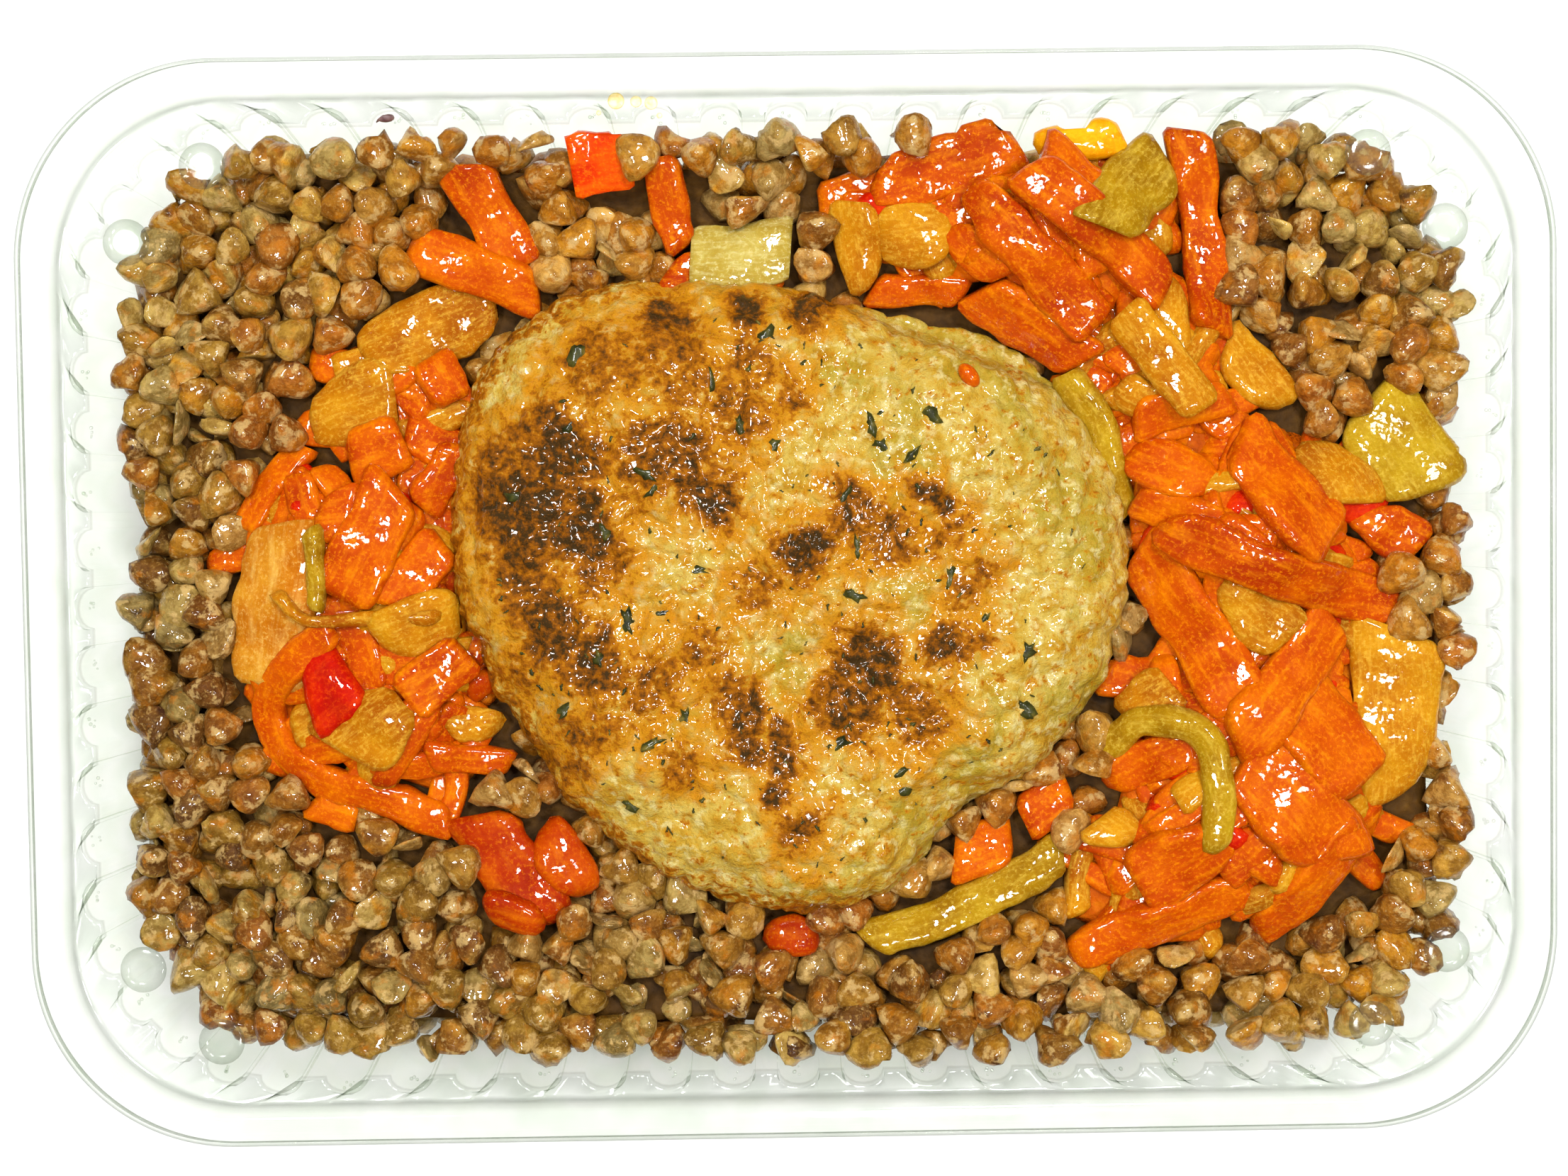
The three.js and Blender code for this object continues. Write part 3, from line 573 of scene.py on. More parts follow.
# Rings of a flattened ball at the given shares of its height, each place with its own u and v
def ball(centre, size, turn, ups):
    angle = circle(LUG_SIDES)
    rings = []
    for up in ups:
        share = math.sqrt(1 - up * up)
        u = share * size[0] * np.cos(angle)
        v = share * size[1] * np.sin(angle)
        x, y = turned_about(centre, u, v, turn)
        rings.append(np.stack([x, y, np.full_like(x, centre[2] + up * size[2]), u, v], axis=-1))
    return np.array(rings)


def make_dirt(fleck_material, stain_material):
    rings = ball(FLECK, FLECK_SIZE, 0, FLECK_UPS)[..., :3]
    add_piece("fleck", [loft(kept_inside(rings))], fleck_material)
    stains = [dome(x, y, LEDGE_Z, radius, STAIN_HIGH, 0, LUG_SIDES) for x, y, radius in STAINS]
    add_piece("oil_stains", stains, stain_material, ["sheet_shade"])


def plain_skin(name, low, high):
    s = Shading(name)
    tone = s.ramp(s.noise(0.8, 3), (0.35, low), (0.65, high))
    s.surface(Base_Color=tone, Roughness=0.3, Normal=s.bump(s.noise(0.6), 0.05))
    return s.material


# Radius of the patty's outline in a direction, smooth through the listed radii
def patty_radius(angle):
    place = (angle / (2 * math.pi) % 1) * len(PATTY_RADII)
    low = np.floor(place).astype(int)
    t = place - low
    radii = np.array(PATTY_RADII)
    p0, p1, p2, p3 = (radii[(low + k) % len(radii)] for k in (-1, 0, 1, 2))
    return curve(p0, p1, p2, p3, t)


def patty_share(x, y):
    dx = x - PATTY_CENTRE[0]
    dy = y - PATTY_CENTRE[1]
    return np.hypot(dx, dy) / patty_radius(np.arctan2(dy, dx))


def mound_height(x, y):
    endwise = x / MOUND_HALF_X
    sideways = np.abs(y) / MOUND_HALF_Y
    end_drop = np.where(endwise < 0, LEFT_END_DROP, RIGHT_END_DROP)
    drop = end_drop * np.abs(endwise) ** 3 + CORNER_DROP * (np.abs(endwise) * sideways) ** 3
    hollow = PATTY_HOLLOW * (1 - smoothstep(patty_share(x, y), 1, HOLLOW_REACH))
    raised = np.where(y > 0, 1, smoothstep(x, LOWER_RISE_FROM, LOWER_RISE_TO))
    rise = SIDE_RISE * raised * smoothstep(np.abs(y), SIDE_RISE_START, MOUND_HALF_Y)
    return MOUND_TOP - drop - hollow + rise


# The far side of the fold at the upper right lies lower than the rest of the top
def fold_drop(x, y):
    way = FOLD_END - FOLD_START
    length = np.linalg.norm(way)
    across = (way[0] * (y - FOLD_START[1]) - way[1] * (x - FOLD_START[0])) / length
    t = (way[0] * (x - FOLD_START[0]) + way[1] * (y - FOLD_START[1])) / length ** 2
    beside = smoothstep(t, *FOLD_OPENS) * (1 - smoothstep(t, *FOLD_CLOSES))
    return FOLD_DEPTH * beside * smoothstep(across, -FOLD_WIDTH / 2, FOLD_WIDTH / 2)


# Browned places on the patty: x, y, radius and strength
BROWNED = [
    (-33, 13, 5.5, 1), (-27, 18, 5, 0.95), (-26, 8.5, 5, 1), (-32.5, 7, 4.5, 0.9), (-24.5, 4.5, 4, 0.7),
    (-15.5, 17, 4.5, 0.8), (-10.5, 13, 3.5, 1), (-22, 28, 4, 0.6), (-16.5, 31, 4.5, 0.6),
    (-12.5, 25.5, 4, 0.6), (-15.5, 34.5, 2.5, 1), (-6, 36, 2.5, 1.1), (3.5, 35, 2.5, 0.95),
    (-5, 29.5, 3, 0.7), (-7.5, 22, 3.5, 0.6), (-1, 24.5, 2, 0.7), (16.5, 13.5, 2, 0.95), (7, 10.5, 3, 0.8),
    (2, 6, 3.5, 1), (10.5, 7.5, 3.5, 0.7), (18.5, 9, 3, 0.5), (-30, -3.5, 4, 0.9), (-24, -6.5, 3, 0.9),
    (-18.5, -9, 4, 0.6), (-32, 1.5, 3.5, 0.7), (-4, 1.5, 3, 0.55), (-11, -5.5, 3, 0.55), (9, -7.5, 4, 1),
    (19.5, -5.5, 2.5, 1), (13.5, -11.5, 3.5, 0.7), (22, 1.5, 2.5, 0.6), (-19.5, -11.5, 3.5, 0.6),
    (-6, -15.5, 2.5, 0.95), (-1, -19, 2.5, 0.9), (-2.5, -23.5, 2, 1), (-8.5, -13, 3, 0.6),
    (0.5, -29, 2.5, 0.75), (-25, -15.5, 3, 0.6), (-14, -19, 2.5, 0.55), (6, -13, 3.5, 0.8),
    (15, -15.5, 3.5, 0.65), (-27.5, -21, 2.5, 0.5), (-32.5, -9, 2.5, 0.5),
]
HERBS = [
    (-26, 30.5), (-6, 21), (-2, 18.5), (10, 21), (11, 18.5), (14.5, 17), (6.5, 12.5), (-22.5, 8.5),
    (-26.5, 21.5), (-33, 13), (-11.5, 3.5), (7.5, 0.5), (-16, -1.5), (-20, -2.5), (-23.5, -7), (8, 6),
    (17.5, 22), (-9.5, 26.5), (-17.5, 15.5), (-17, 13.5), (-3, 32), (23.5, -3), (28.5, -7), (19, 2.5),
    (28.5, -14), (-13, -14), (-27.5, -13.5), (-17.5, -17.5), (13.5, -23.5), (5.5, -18), (13, -21.5),
    (-21.5, -27.5),
]
ONION_BITS = [
    (-18.5, 25.5), (-11.5, 31), (-9.5, 27), (-3, 9), (-1, 9.5), (-19, 11), (3, 27), (14, 30.5), (-25.5, 6),
    (-15, -7.5),
]
PATTY_SIDES = 400
PATTY_RINGS = 144
PATTY_REACH = 40
FIRST_RING = 0.6
EASING = np.linspace(-2.2, 2.2, 9)
WOBBLE = [(0.6, 5.5, 3), (0.35, 2.1, 4)]
TOP_HEIGHTS = (6, 14)
BROAD_X = (7.3, 1.1)
BROAD_Y = (6.1, 0.6)
FINE_X = (3.4, 4.9)
FINE_Y = (3.1, 8.7)
FINE_SHARE = 0.5
WAVE_HEIGHT = 0.75


# The patty's skin: rings from the middle of its top to the middle of its bottom
def patty_rings():
    shares = np.array(PATTY_PROFILE)
    lengths = np.hypot(np.diff(shares[:, 0] * PATTY_REACH), np.diff(shares[:, 1]))
    run = np.concatenate([[0], np.cumsum(lengths)])
    places = np.linspace(FIRST_RING, run[-1], PATTY_RINGS)
    eased = [[np.interp(places + shift, run, column) for shift in EASING] for column in shares.T]
    share, height = np.mean(eased, axis=1)
    angle = np.arange(PATTY_SIDES) * 2 * math.pi / PATTY_SIDES
    around = np.stack([np.cos(angle), np.sin(angle), 0 * angle], axis=-1) * PATTY_REACH
    radius = share[:, None] * (patty_radius(angle) + layered(around, *WOBBLE))[None]
    x = PATTY_CENTRE[0] + radius * np.cos(angle)
    y = PATTY_CENTRE[1] + radius * np.sin(angle)
    topness = smoothstep(height, *TOP_HEIGHTS)[:, None]
    broad = np.sin(x / BROAD_X[0] + BROAD_X[1]) * np.cos(y / BROAD_Y[0] - BROAD_Y[1])
    fine = np.sin(x / FINE_X[0] - y / FINE_X[1]) * np.cos(y / FINE_Y[0] + x / FINE_Y[1])
    relief = topness * (WAVE_HEIGHT * (broad + FINE_SHARE * fine) - fold_drop(x, y))
    z = PATTY_BOTTOM + height[:, None] + relief
    return np.stack([x, y, z], axis=-1)


# Browned spots have ragged edges, with golden rings round them, and the rim and the sides are browned too
RAGGED_X = [(2.2, 5.0, 11), (0.8, 1.9, 12)]
RAGGED_Y = [(2.2, 5.0, 13), (0.8, 1.9, 14)]
BROWN_REACH = (0.45, 1.75)
GOLD_REACH = (1.1, 2.9)
RIM_SHARES = (0.88, 1.0)
RIM_SIDE = (-6, 14)
RIM_LEAN = 0.4
RIM_BROWN = 0.62
RIM_EVEN = 0.8
RIM_UNEVEN = (0.4, 3.5, 15)
SIDE_TOP = 28
SIDE_FADE = 4
SIDE_BROWN = 0.45
SIDE_UNEVEN = (0.3, 6, 16)
MOST_BROWN = 1.1


def patty_browning(points):
    x, y, z = points[..., 0], points[..., 1], points[..., 2]
    ragged_x = x + layered(points, *RAGGED_X)
    ragged_y = y + layered(points, *RAGGED_Y)
    brown = np.zeros_like(x)
    gold = np.zeros_like(x)
    for spot_x, spot_y, radius, strength in BROWNED:
        far = np.hypot(ragged_x - spot_x, ragged_y - spot_y)
        fade = smoothstep(far, BROWN_REACH[0] * radius, BROWN_REACH[1] * radius)
        brown = np.maximum(brown, strength * (1 - fade))
        gold = np.maximum(gold, 1 - smoothstep(far, GOLD_REACH[0] * radius, GOLD_REACH[1] * radius))
    edge = smoothstep(patty_share(x, y), *RIM_SHARES) * smoothstep(-x - RIM_LEAN * y, *RIM_SIDE)
    brown = np.maximum(brown, RIM_BROWN * edge * (RIM_EVEN + layered(points, RIM_UNEVEN)))
    side = smoothstep(SIDE_TOP - z - fold_drop(x, y), 0, SIDE_FADE)
    brown = np.maximum(brown, side * (SIDE_BROWN + layered(points, SIDE_UNEVEN)))
    return np.clip(brown, 0, MOST_BROWN), gold


# Lumps of the mince: cell size, seed, rise of a lump, its middle, depth of the seams and their width
CHUNKS = (4.6, 21, 0.55, 0.55, 0.35, 0.3)
CRUMBS = (2.1, 25, 0.28, 0.5, 0.12, 0.25)
CRUMB_SHIFT = 3
SWELLS = [(0.5, 9, 31), (0.22, 1.3, 32), (0.1, 0.65, 33)]
CRUST = (0.35, 1.1, 34)
SMOOTH_BELOW = (22, 31)
SIDE_RELIEF = 0.55
TOP_RELIEF = 0.45
GREENS = [(1, 7, 41), (0.5, 2.5, 42)]
GREEN_LEAN = 0.012
GREEN_RANGE = (0.25, 0.75)
ONION_LONG = 1.5
ONION_EDGE = (0.7, 1.5)


def lumps_of(points, size, seed, rise, middle, depth, width):
    near, second = cells(points, size, seed)
    return rise * (middle - near) + depth * smoothstep(second - near, 0, width)


def make_patty(material):
    points = patty_rings()
    normal = grid_normals(points)
    lumps = lumps_of(points, *CHUNKS) + lumps_of(points + CRUMB_SHIFT, *CRUMBS) + layered(points, *SWELLS)
    amount = SIDE_RELIEF + TOP_RELIEF * smoothstep(points[..., 2], *SMOOTH_BELOW)
    brown, gold = patty_browning(points)
    crust = CRUST[0] * brown * noise(points, *CRUST[1:])
    points = points + normal * ((lumps + crust) * amount)[..., None]
    green = smoothstep(layered(points, *GREENS) + GREEN_LEAN * points[..., 0], *GREEN_RANGE)
    green = np.maximum(green, FOLD_GREEN * fold_drop(points[..., 0], points[..., 1]) / FOLD_DEPTH)
    for x, y in ONION_BITS:
        distance = np.hypot((points[..., 0] - x) / ONION_LONG, points[..., 1] - y)
        green = np.maximum(green, 1 - smoothstep(distance, *ONION_EDGE))
    rings = np.concatenate([points, brown[..., None], gold[..., None], green[..., None]], axis=-1)
    add_piece("patty_meat", [loft(rings)], material, ("brown", "gold", "green"), ["patty"])
    return points


# The point of the patty's upper skin that is nearest over a place
def top_at(points, x, y):
    upper = points[: PATTY_RINGS // 2].reshape(-1, 3)
    nearest = np.argmin((upper[:, 0] - x) ** 2 + (upper[:, 1] - y) ** 2)
    return upper[nearest]


# A bit of carrot that shows in the patty's fold
CARROT_BIT = (23.3, 29)
CARROT_BIT_SIZE = (1.7, 1.05, 0.9)
CARROT_BIT_TURN = -0.9
CARROT_BIT_UPS = (0.95, 0.8, 0.5, 0.1, -0.4)
MIDDLE_TONE = 0.5


def make_carrot_bit(patty_points, material):
    rings = ball(top_at(patty_points, *CARROT_BIT), CARROT_BIT_SIZE, CARROT_BIT_TURN, CARROT_BIT_UPS)
    tone_and_edge = np.broadcast_to([MIDDLE_TONE, 0], (*rings.shape[:2], 2))
    part = loft(np.concatenate([rings, tone_and_edge], axis=-1))
    add_piece("carrot_bit", [part], material, STRIP_CHANNELS)


GRIT_COUNT = 190
GRIT_REACH = 37
GRIT_SIZES = (0.14, 0.34)
HERB_LONG = (1.0, 1.7)
HERB_BROAD = (0.45, 0.9)
HERB_POINTS = 12
HERB_TORN = 0.42
HERB_RINGS = [(0.55, 0.16), (1, 0.04), (1, -0.2)]
HERB_CURL = 0.12
THIN_GRIT = 0.4


# Small torn leaves pressed into the patty
def make_herbs(patty_points, material):
    parts = []
    spots = [(x, y, 1.0) for x, y in HERBS]
    for _ in range(GRIT_COUNT):
        angle = rng.uniform(0, 2 * math.pi)
        reach = GRIT_REACH * math.sqrt(rng.uniform())
        spots.append((reach * math.cos(angle), reach * math.sin(angle), rng.uniform(*GRIT_SIZES)))
    angle = np.arange(HERB_POINTS) * math.pi / (HERB_POINTS / 2)
    for x, y, size in spots:
        centre = top_at(patty_points, x, y)
        turn = rng.uniform(0, math.pi)
        long = size * rng.uniform(*HERB_LONG)
        broad = size * rng.uniform(*HERB_BROAD)
        outline = 1 + HERB_TORN * rng.uniform(-1, 1, HERB_POINTS)
        rings = []
        for share, height in HERB_RINGS:
            u = share * outline * long * np.cos(angle)
            v = share * outline * broad * np.sin(angle)
            z = centre[2] + height * min(1, size + THIN_GRIT) + HERB_CURL * np.sin(angle * 2 + turn)
            rings.append(np.stack([*turned_about(centre, u, v, turn), z], axis=-1))
        parts.append(loft(np.array(rings)))
    add_piece("herb_flecks", parts, material)


CURVE_STEPS = 24
FEWEST_STEPS = 6


# A row of places smoothed and walked in even steps
def walked(places, gap):
    places = np.array(places, float)
    if len(places) > 2:
        ends = [2 * places[0] - places[1], *places, 2 * places[-1] - places[-2]]
        fine = []
        for p0, p1, p2, p3 in zip(ends, ends[1:], ends[2:], ends[3:]):
            t = np.linspace(0, 1, CURVE_STEPS, endpoint=False)[:, None]
            fine.append(curve(p0, p1, p2, p3, t))
        places = np.concatenate([*fine, places[-1:]])
    run = np.concatenate([[0], np.cumsum(np.linalg.norm(np.diff(places, axis=0), axis=1))])
    count = max(FEWEST_STEPS, int(run[-1] / gap))
    stops = np.linspace(0, run[-1], count + 1)
    return np.stack([np.interp(stops, run, places[:, k]) for k in range(2)], axis=-1), stops


STRIP_SIDES = 20
STRIP_GAP = 0.72
STIFF = 8.0
WIDER = 1.1


# The height that the food has reached so far, over a grid of small cells
class Settled:
    CELL = 0.5

    def __init__(self):
        self.columns = int(TRAY_LENGTH / self.CELL)
        self.rows = int(TRAY_WIDTH / self.CELL)
        x = (np.arange(self.columns) + 0.5) * self.CELL - TRAY_LENGTH / 2
        y = (np.arange(self.rows) + 0.5) * self.CELL - TRAY_WIDTH / 2
        grid_x, grid_y = np.meshgrid(x, y)
        self.height = mound_height(grid_x, grid_y)
        self.covered = np.zeros_like(self.height, bool)

    def cell(self, x, y):
        column = np.clip(((x + TRAY_LENGTH / 2) / self.CELL).astype(int), 0, self.columns - 1)
        row = np.clip(((y + TRAY_WIDTH / 2) / self.CELL).astype(int), 0, self.rows - 1)
        return row, column

    def under(self, x, y):
        return self.height[self.cell(x, y)]

    # Whether food lies over a place or in the cell beside it
    def taken(self, x, y):
        wide = self.covered.copy()
        for way, axis in ((1, 0), (-1, 0), (1, 1), (-1, 1)):
            wide |= np.roll(self.covered, way, axis)
        return wide[self.cell(x, y)]

    def put(self, x, y, z):
        place = self.cell(x, y)
        np.maximum.at(self.height, place, z)
        self.covered[place] = True


settled = Settled()


def averaged(values, run, window):
    near = np.abs(run[:, None] - run[None]) < window / 2
    return (near * values[None]).sum(axis=1) / near.sum(axis=1)


# Ends of strips: how long they narrow for and from what share of their width. Crisp ones are cut square.
CRISP_KINDS = ("bright_pepper", "pale_leek")
CRISP_END = (0.08, 0.9)
CRISP_SLANT = 0.1
BLUNT_CHANCE = 0.6
BLUNT_END = ((0.25, 0.45), (0.6, 0.82))
POINTED_END = ((0.7, 1.3), (0.2, 0.4))
END_SLANT = 0.6
END_HEIGHT = 1.15

# How a strip's body varies along it: amount, size and seed
SWAY = (0.4, 7, 1)
WIDTH_WAVE = (0.1, 5.5, 2)
HEIGHT_WAVE = (0.14, 7, 3)
RISE = (0.3, 8, 4)
ROLL = (0.14, 12, 5)
EDGE_WAVE = (0.25, 2.6, 8)
BROAD_LUMPS = (0.055, 4.2, 9)
FINE_LUMPS = [(0.18, 2.4, 6), (0.1, 1.1, 7)]
THICKNESSES = (0.88, 1.12)
MOST_TILT = 0.5
ROLL_SPREAD = 0.08
DISH_MIDDLE = 0.4

# Where a strip feels what is under it, and how far it rests on the highest of it
FELT_ACROSS = np.linspace(-0.8, 0.8, 5)
FELT_SPAN = 1.2
ON_HIGHEST = 0.4
PRESSED_ACROSS = np.linspace(-0.98, 0.98, 17)
PRESSED_HEIGHT = 0.9

# A strip's random tag picks its places in the noise, wrapped round to stay small
TAGS = 1 << 20
ALONG_WRAP = 97
EDGE_WRAP = 43
LUMP_WRAPS = (53, 31, 17)
FIBRE_WRAP = 89


def end_shape(kind, wide):
    if kind in CRISP_KINDS:
        reach, share = CRISP_END
        return reach * wide, share, rng.uniform(-CRISP_SLANT, CRISP_SLANT)
    reaches, shares = BLUNT_END if rng.uniform() < BLUNT_CHANCE else POINTED_END
    return rng.uniform(*reaches) * wide, rng.uniform(*shares), rng.uniform(-END_SLANT, END_SLANT)


# Places along a run, as points for noise
def along_run(run, start):
    return np.stack([run, 0 * run + start, 0 * run], axis=-1)


# One cut piece of vegetable. Its section is a rounded bar, dished where the piece is a leaf of leek or the
# wall of a pepper. It lies on what has settled before it, with a slow twist and uneven edges.
def strip(kind, wide, places, lift, sink, thick):
    middle, run = walked(places, STRIP_GAP)
    length = run[-1]
    tag = int(rng.integers(TAGS))
    _, usual_thick, square, dish = CUTS[kind]
    thick = (thick or usual_thick) * rng.uniform(*THICKNESSES)
    ahead = np.gradient(middle, axis=0)
    ahead /= np.linalg.norm(ahead, axis=1, keepdims=True)
    right = np.stack([ahead[:, 1], -ahead[:, 0]], axis=-1)
    along = along_run(run, tag % ALONG_WRAP)
    middle = middle + right * layered(along, SWAY)[:, None]
    closing = np.ones_like(run)
    slant = np.zeros_like(run)
    for distance, sign in ((run, 1), (length - run, -1)):
        reach, share, cut = end_shape(kind, min(wide, length))
        t = np.clip(distance / reach, 0, 1)
        closing *= share + (1 - share) * np.sqrt(1 - (1 - t) ** 2)
        slant += cut * (1 - smoothstep(distance, 0, wide))
    half_wide = WIDER * wide / 2 * closing * (1 + layered(along, WIDTH_WAVE))
    half_high = thick / 2 * np.minimum(1, closing * END_HEIGHT) * (1 + layered(along, HEIGHT_WAVE))
    felt_x = middle[:, :1] + right[:, :1] * half_wide[:, None] * FELT_ACROSS
    felt_y = middle[:, 1:] + right[:, 1:] * half_wide[:, None] * FELT_ACROSS
    below = settled.under(felt_x, felt_y)
    base = mixed(below.mean(axis=1), below.max(axis=1), ON_HIGHEST)
    base = averaged(base, run, STIFF)
    slope = (below[:, 3:].mean(axis=1) - below[:, :2].mean(axis=1)) / (FELT_SPAN * half_wide)
    tilt = averaged(slope, run, STIFF)
    centre_z = base + REST_GAP - sink + lift + half_high + layered(along, RISE)
    lean = rng.uniform(-ROLL_SPREAD, ROLL_SPREAD)
    roll = np.clip(tilt, -MOST_TILT, MOST_TILT) + layered(along, ROLL) + lean
    angle = np.arange(STRIP_SIDES) * 2 * math.pi / STRIP_SIDES
    side = np.sign(np.cos(angle)) * np.abs(np.cos(angle)) ** square
    up = np.sign(np.sin(angle)) * np.abs(np.sin(angle)) ** square
    edge_wave = layered(along_run(run, tag % EDGE_WRAP), EDGE_WAVE)
    s = (half_wide[:, None] + edge_wave[:, None] * np.sign(side)) * side
    h = half_high[:, None] * up - dish * (side ** 2 - DISH_MIDDLE)
    sideways = s * np.cos(roll)[:, None] - h * np.sin(roll)[:, None]
    high = s * np.sin(roll)[:, None] + h * np.cos(roll)[:, None]
    skew = ahead[:, None] * (slant[:, None] * s)[..., None]
    xy = middle[:, None] + right[:, None] * sideways[..., None] + skew
    points = np.concatenate([xy, (centre_z[:, None] + high)[..., None]], axis=-1)
    shifted = points + np.array([tag % wrap for wrap in LUMP_WRAPS])
    amount, size, seed = BROAD_LUMPS
    rough = layered(shifted, (amount * wide, size, seed), *FINE_LUMPS)
    normal = grid_normals(points)
    middle_line = np.concatenate([middle, centre_z[:, None]], axis=-1)[:, None]
    outward = np.sum(normal * (points - middle_line), axis=-1, keepdims=True)
    normal = normal * np.sign(outward + TINY)
    points = kept_inside(points + normal * rough[..., None])
    reach = half_wide[:, None] * PRESSED_ACROSS
    top_z = centre_z[:, None] + PRESSED_HEIGHT * half_high[:, None] + reach * np.sin(roll)[:, None]
    settled.put(middle[:, :1] + right[:, :1] * reach, middle[:, 1:] + right[:, 1:] * reach, top_z)
    along_value = np.broadcast_to(run[:, None] + (tag % FIBRE_WRAP), s.shape)
    tone = np.full(s.shape, rng.uniform())
    edge = np.broadcast_to(np.abs(side), s.shape)
    rings = np.concatenate([points, np.stack([along_value, s, tone, edge], axis=-1)], axis=-1)
    return oriented(rings)


# Turns a row of rings round where their skin would face inwards
def oriented(rings):
    first = rings[0, :, :3]
    ahead = rings[1, :, :3].mean(axis=0) - first.mean(axis=0)
    spin = np.cross(first[0] - first.mean(axis=0), first[1] - first.mean(axis=0))
    return loft(rings if np.dot(spin, ahead) < 0 else rings[:, ::-1])


# How deep a flute is beside each place near the wall
def flute_room(x, y):
    ax, ay = np.abs(x), np.abs(y)
    angle = np.arctan2(np.maximum(ay - wall.straight_y, 0), np.maximum(ax - wall.straight_x, SMALL))
    run = np.where(ay <= wall.straight_y, ay, wall.straight_y + wall.corner * angle)
    run = np.where(ax <= wall.straight_x, wall.quarter - ax, run)
    off = np.min(np.abs(run[..., None] - FIRST_FLUTES), axis=-1)
    return FLUTE_DEPTH * np.sqrt(np.clip(1 - (2 * off / FLUTE_MOUTH) ** 2, 0, 1))


ROOM_ABOVE_LEDGE = 1.5
CLEAR_OF_WALL = 1


# Presses points that would pass through the tray's wall back against it
def kept_inside(points):
    x, y, z = points[..., 0], points[..., 1], points[..., 2]
    outside = wall.outside(x, y)
    if np.max(outside) < wall_offset(0) - CLEAR_OF_WALL:
        return points
    allowed = wall_offset(np.minimum(z, LEDGE_Z)) - WALL_TOUCH + flute_room(x, y)
    allowed = np.where(z > LEDGE_Z, allowed + (z - LEDGE_Z) * ROOM_ABOVE_LEDGE, allowed)
    over = np.maximum(outside - allowed, 0)
    qx = np.abs(x) - wall.straight_x
    qy = np.abs(y) - wall.straight_y
    nx = np.where(qx > 0, qx, 0) * np.sign(x)
    ny = np.where(qy > 0, qy, 0) * np.sign(y)
    length = np.maximum(np.hypot(nx, ny), SMALL)
    moved = points.copy()
    moved[..., 0] -= nx / length * over
    moved[..., 1] -= ny / length * over
    return moved


# Pieces that lie apart: kind, width, layer and the places that they run through
LOOSE = {
    "pepper_square": ("bright_pepper", 7.0, 0, [(-26.5, 53.6), (-19, 54)]),
    "carrot_stick_across": ("carrot", 5.6, 1, [(-47.5, 44), (-31, 38)]),
    "carrot_stick_upper": ("carrot", 6, 0, [(-40, 54), (-33, 41.5)]),
    "carrot_wedge": ("carrot", 4.4, 0, [(-15.5, 54.5), (-13, 43.5)]),
    "leek_tile": ("pale_leek", 7.2, 1, [(-12, 43), (0.5, 43)]),
    "carrot_under_tile": ("carrot", 4.8, 0, [(-15, 40.8), (-0.5, 39.8)]),
    "leek_shred": ("leek", 5.8, 0, [(8, 49), (9.5, 38)]),
    "carrot_upright": ("carrot", 5, 1, [(49.5, 57), (51.5, 46), (53, 32)]),
    "pepper_tip": ("yellow_pepper", 4.6, 0, [(31, 55), (41.5, 56)]),
    "pepper_green": ("green_pepper", 10.2, 0, [(73, 24), (80, 12)]),
    "leek_slab": ("leek", 10.8, 0, [(76, -5), (75.2, -26.5)]),
    "celery_strip": ("green_pepper", 4.6, 0, [(8.5, -43.5), (21, -40), (33.5, -32.5)]),
    "pepper_bit": ("orange_pepper", 4.8, 0, [(-4, -42.5), (3, -43)]),
}
PETALS = [
    ("orange_pepper", 7.7, 0, [(-40, -27), (-35.5, -33.5), (-30.5, -40.5)]),
    ("orange_pepper", 6.8, 1, [(-31.5, -28.5), (-27, -37.5)]),
    ("orange_pepper", 4.2, 0, [(-39, -38), (-31.5, -41)]),
]
LEFT_HEAP = [
    ("leek", 8.2, 0, [(-53, 30.5), (-36.5, 38)]),
    ("carrot", 5.3, 0, [(-44.5, 30.5), (-41.5, 25)]),
    ("leek", 9.2, 0, [(-60, 22.5), (-49, 26)]),
    ("carrot", 6.8, 0, [(-55, 17.5), (-48, 20)]),
    ("carrot", 8.2, 0, [(-59, 11), (-52.5, 11.5)]),
    ("carrot", 7.3, 1, [(-56, 0.5), (-49, 14.5)]),
    ("carrot", 4.4, 0, [(-46, 11.5), (-41.5, 19.5)]),
    ("onion", 10.2, 0, [(-63, 10), (-66, -10.5)]),
    ("green_pepper", 2.1, 1, [(-59, 9.5), (-59, -1)]),
    ("leek", 1.5, 1, [(-64, 1.5), (-59, -2), (-43.5, -1.5)], 1.0),
    ("carrot", 5.8, 0, [(-50, -0.5), (-43.5, 7.5)]),
    ("red_pepper", 10.2, 1, [(-60.5, -12), (-55.5, -8)]),
    ("leek", 7.3, 1, [(-51.5, -5), (-41.5, -1.5)]),
    ("carrot", 5.8, 1, [(-48, -12), (-40.5, -6.5)]),
    ("orange_pepper", 3.9, 0, [(-41, -11.5), (-37, -10)]),
    ("leek", 4.1, 0, [(-43.5, -15.5), (-36.5, -15.5)]),
    (
        "carrot", 4.1, 2, [(-57, -3), (-64.5, -9.5), (-66, -15.5), (-60.5, -21.5), (-52, -24.5), (-43, -28)],
        -0.8,
    ),
    ("carrot", 3.3, 1, [(-46, -19), (-35.5, -20.5)]),
    ("leek", 10.6, 0, [(-56.5, -18.5), (-48.5, -12.5)]),
    ("carrot", 3.9, 0, [(-61, -25), (-55, -27)]),
]
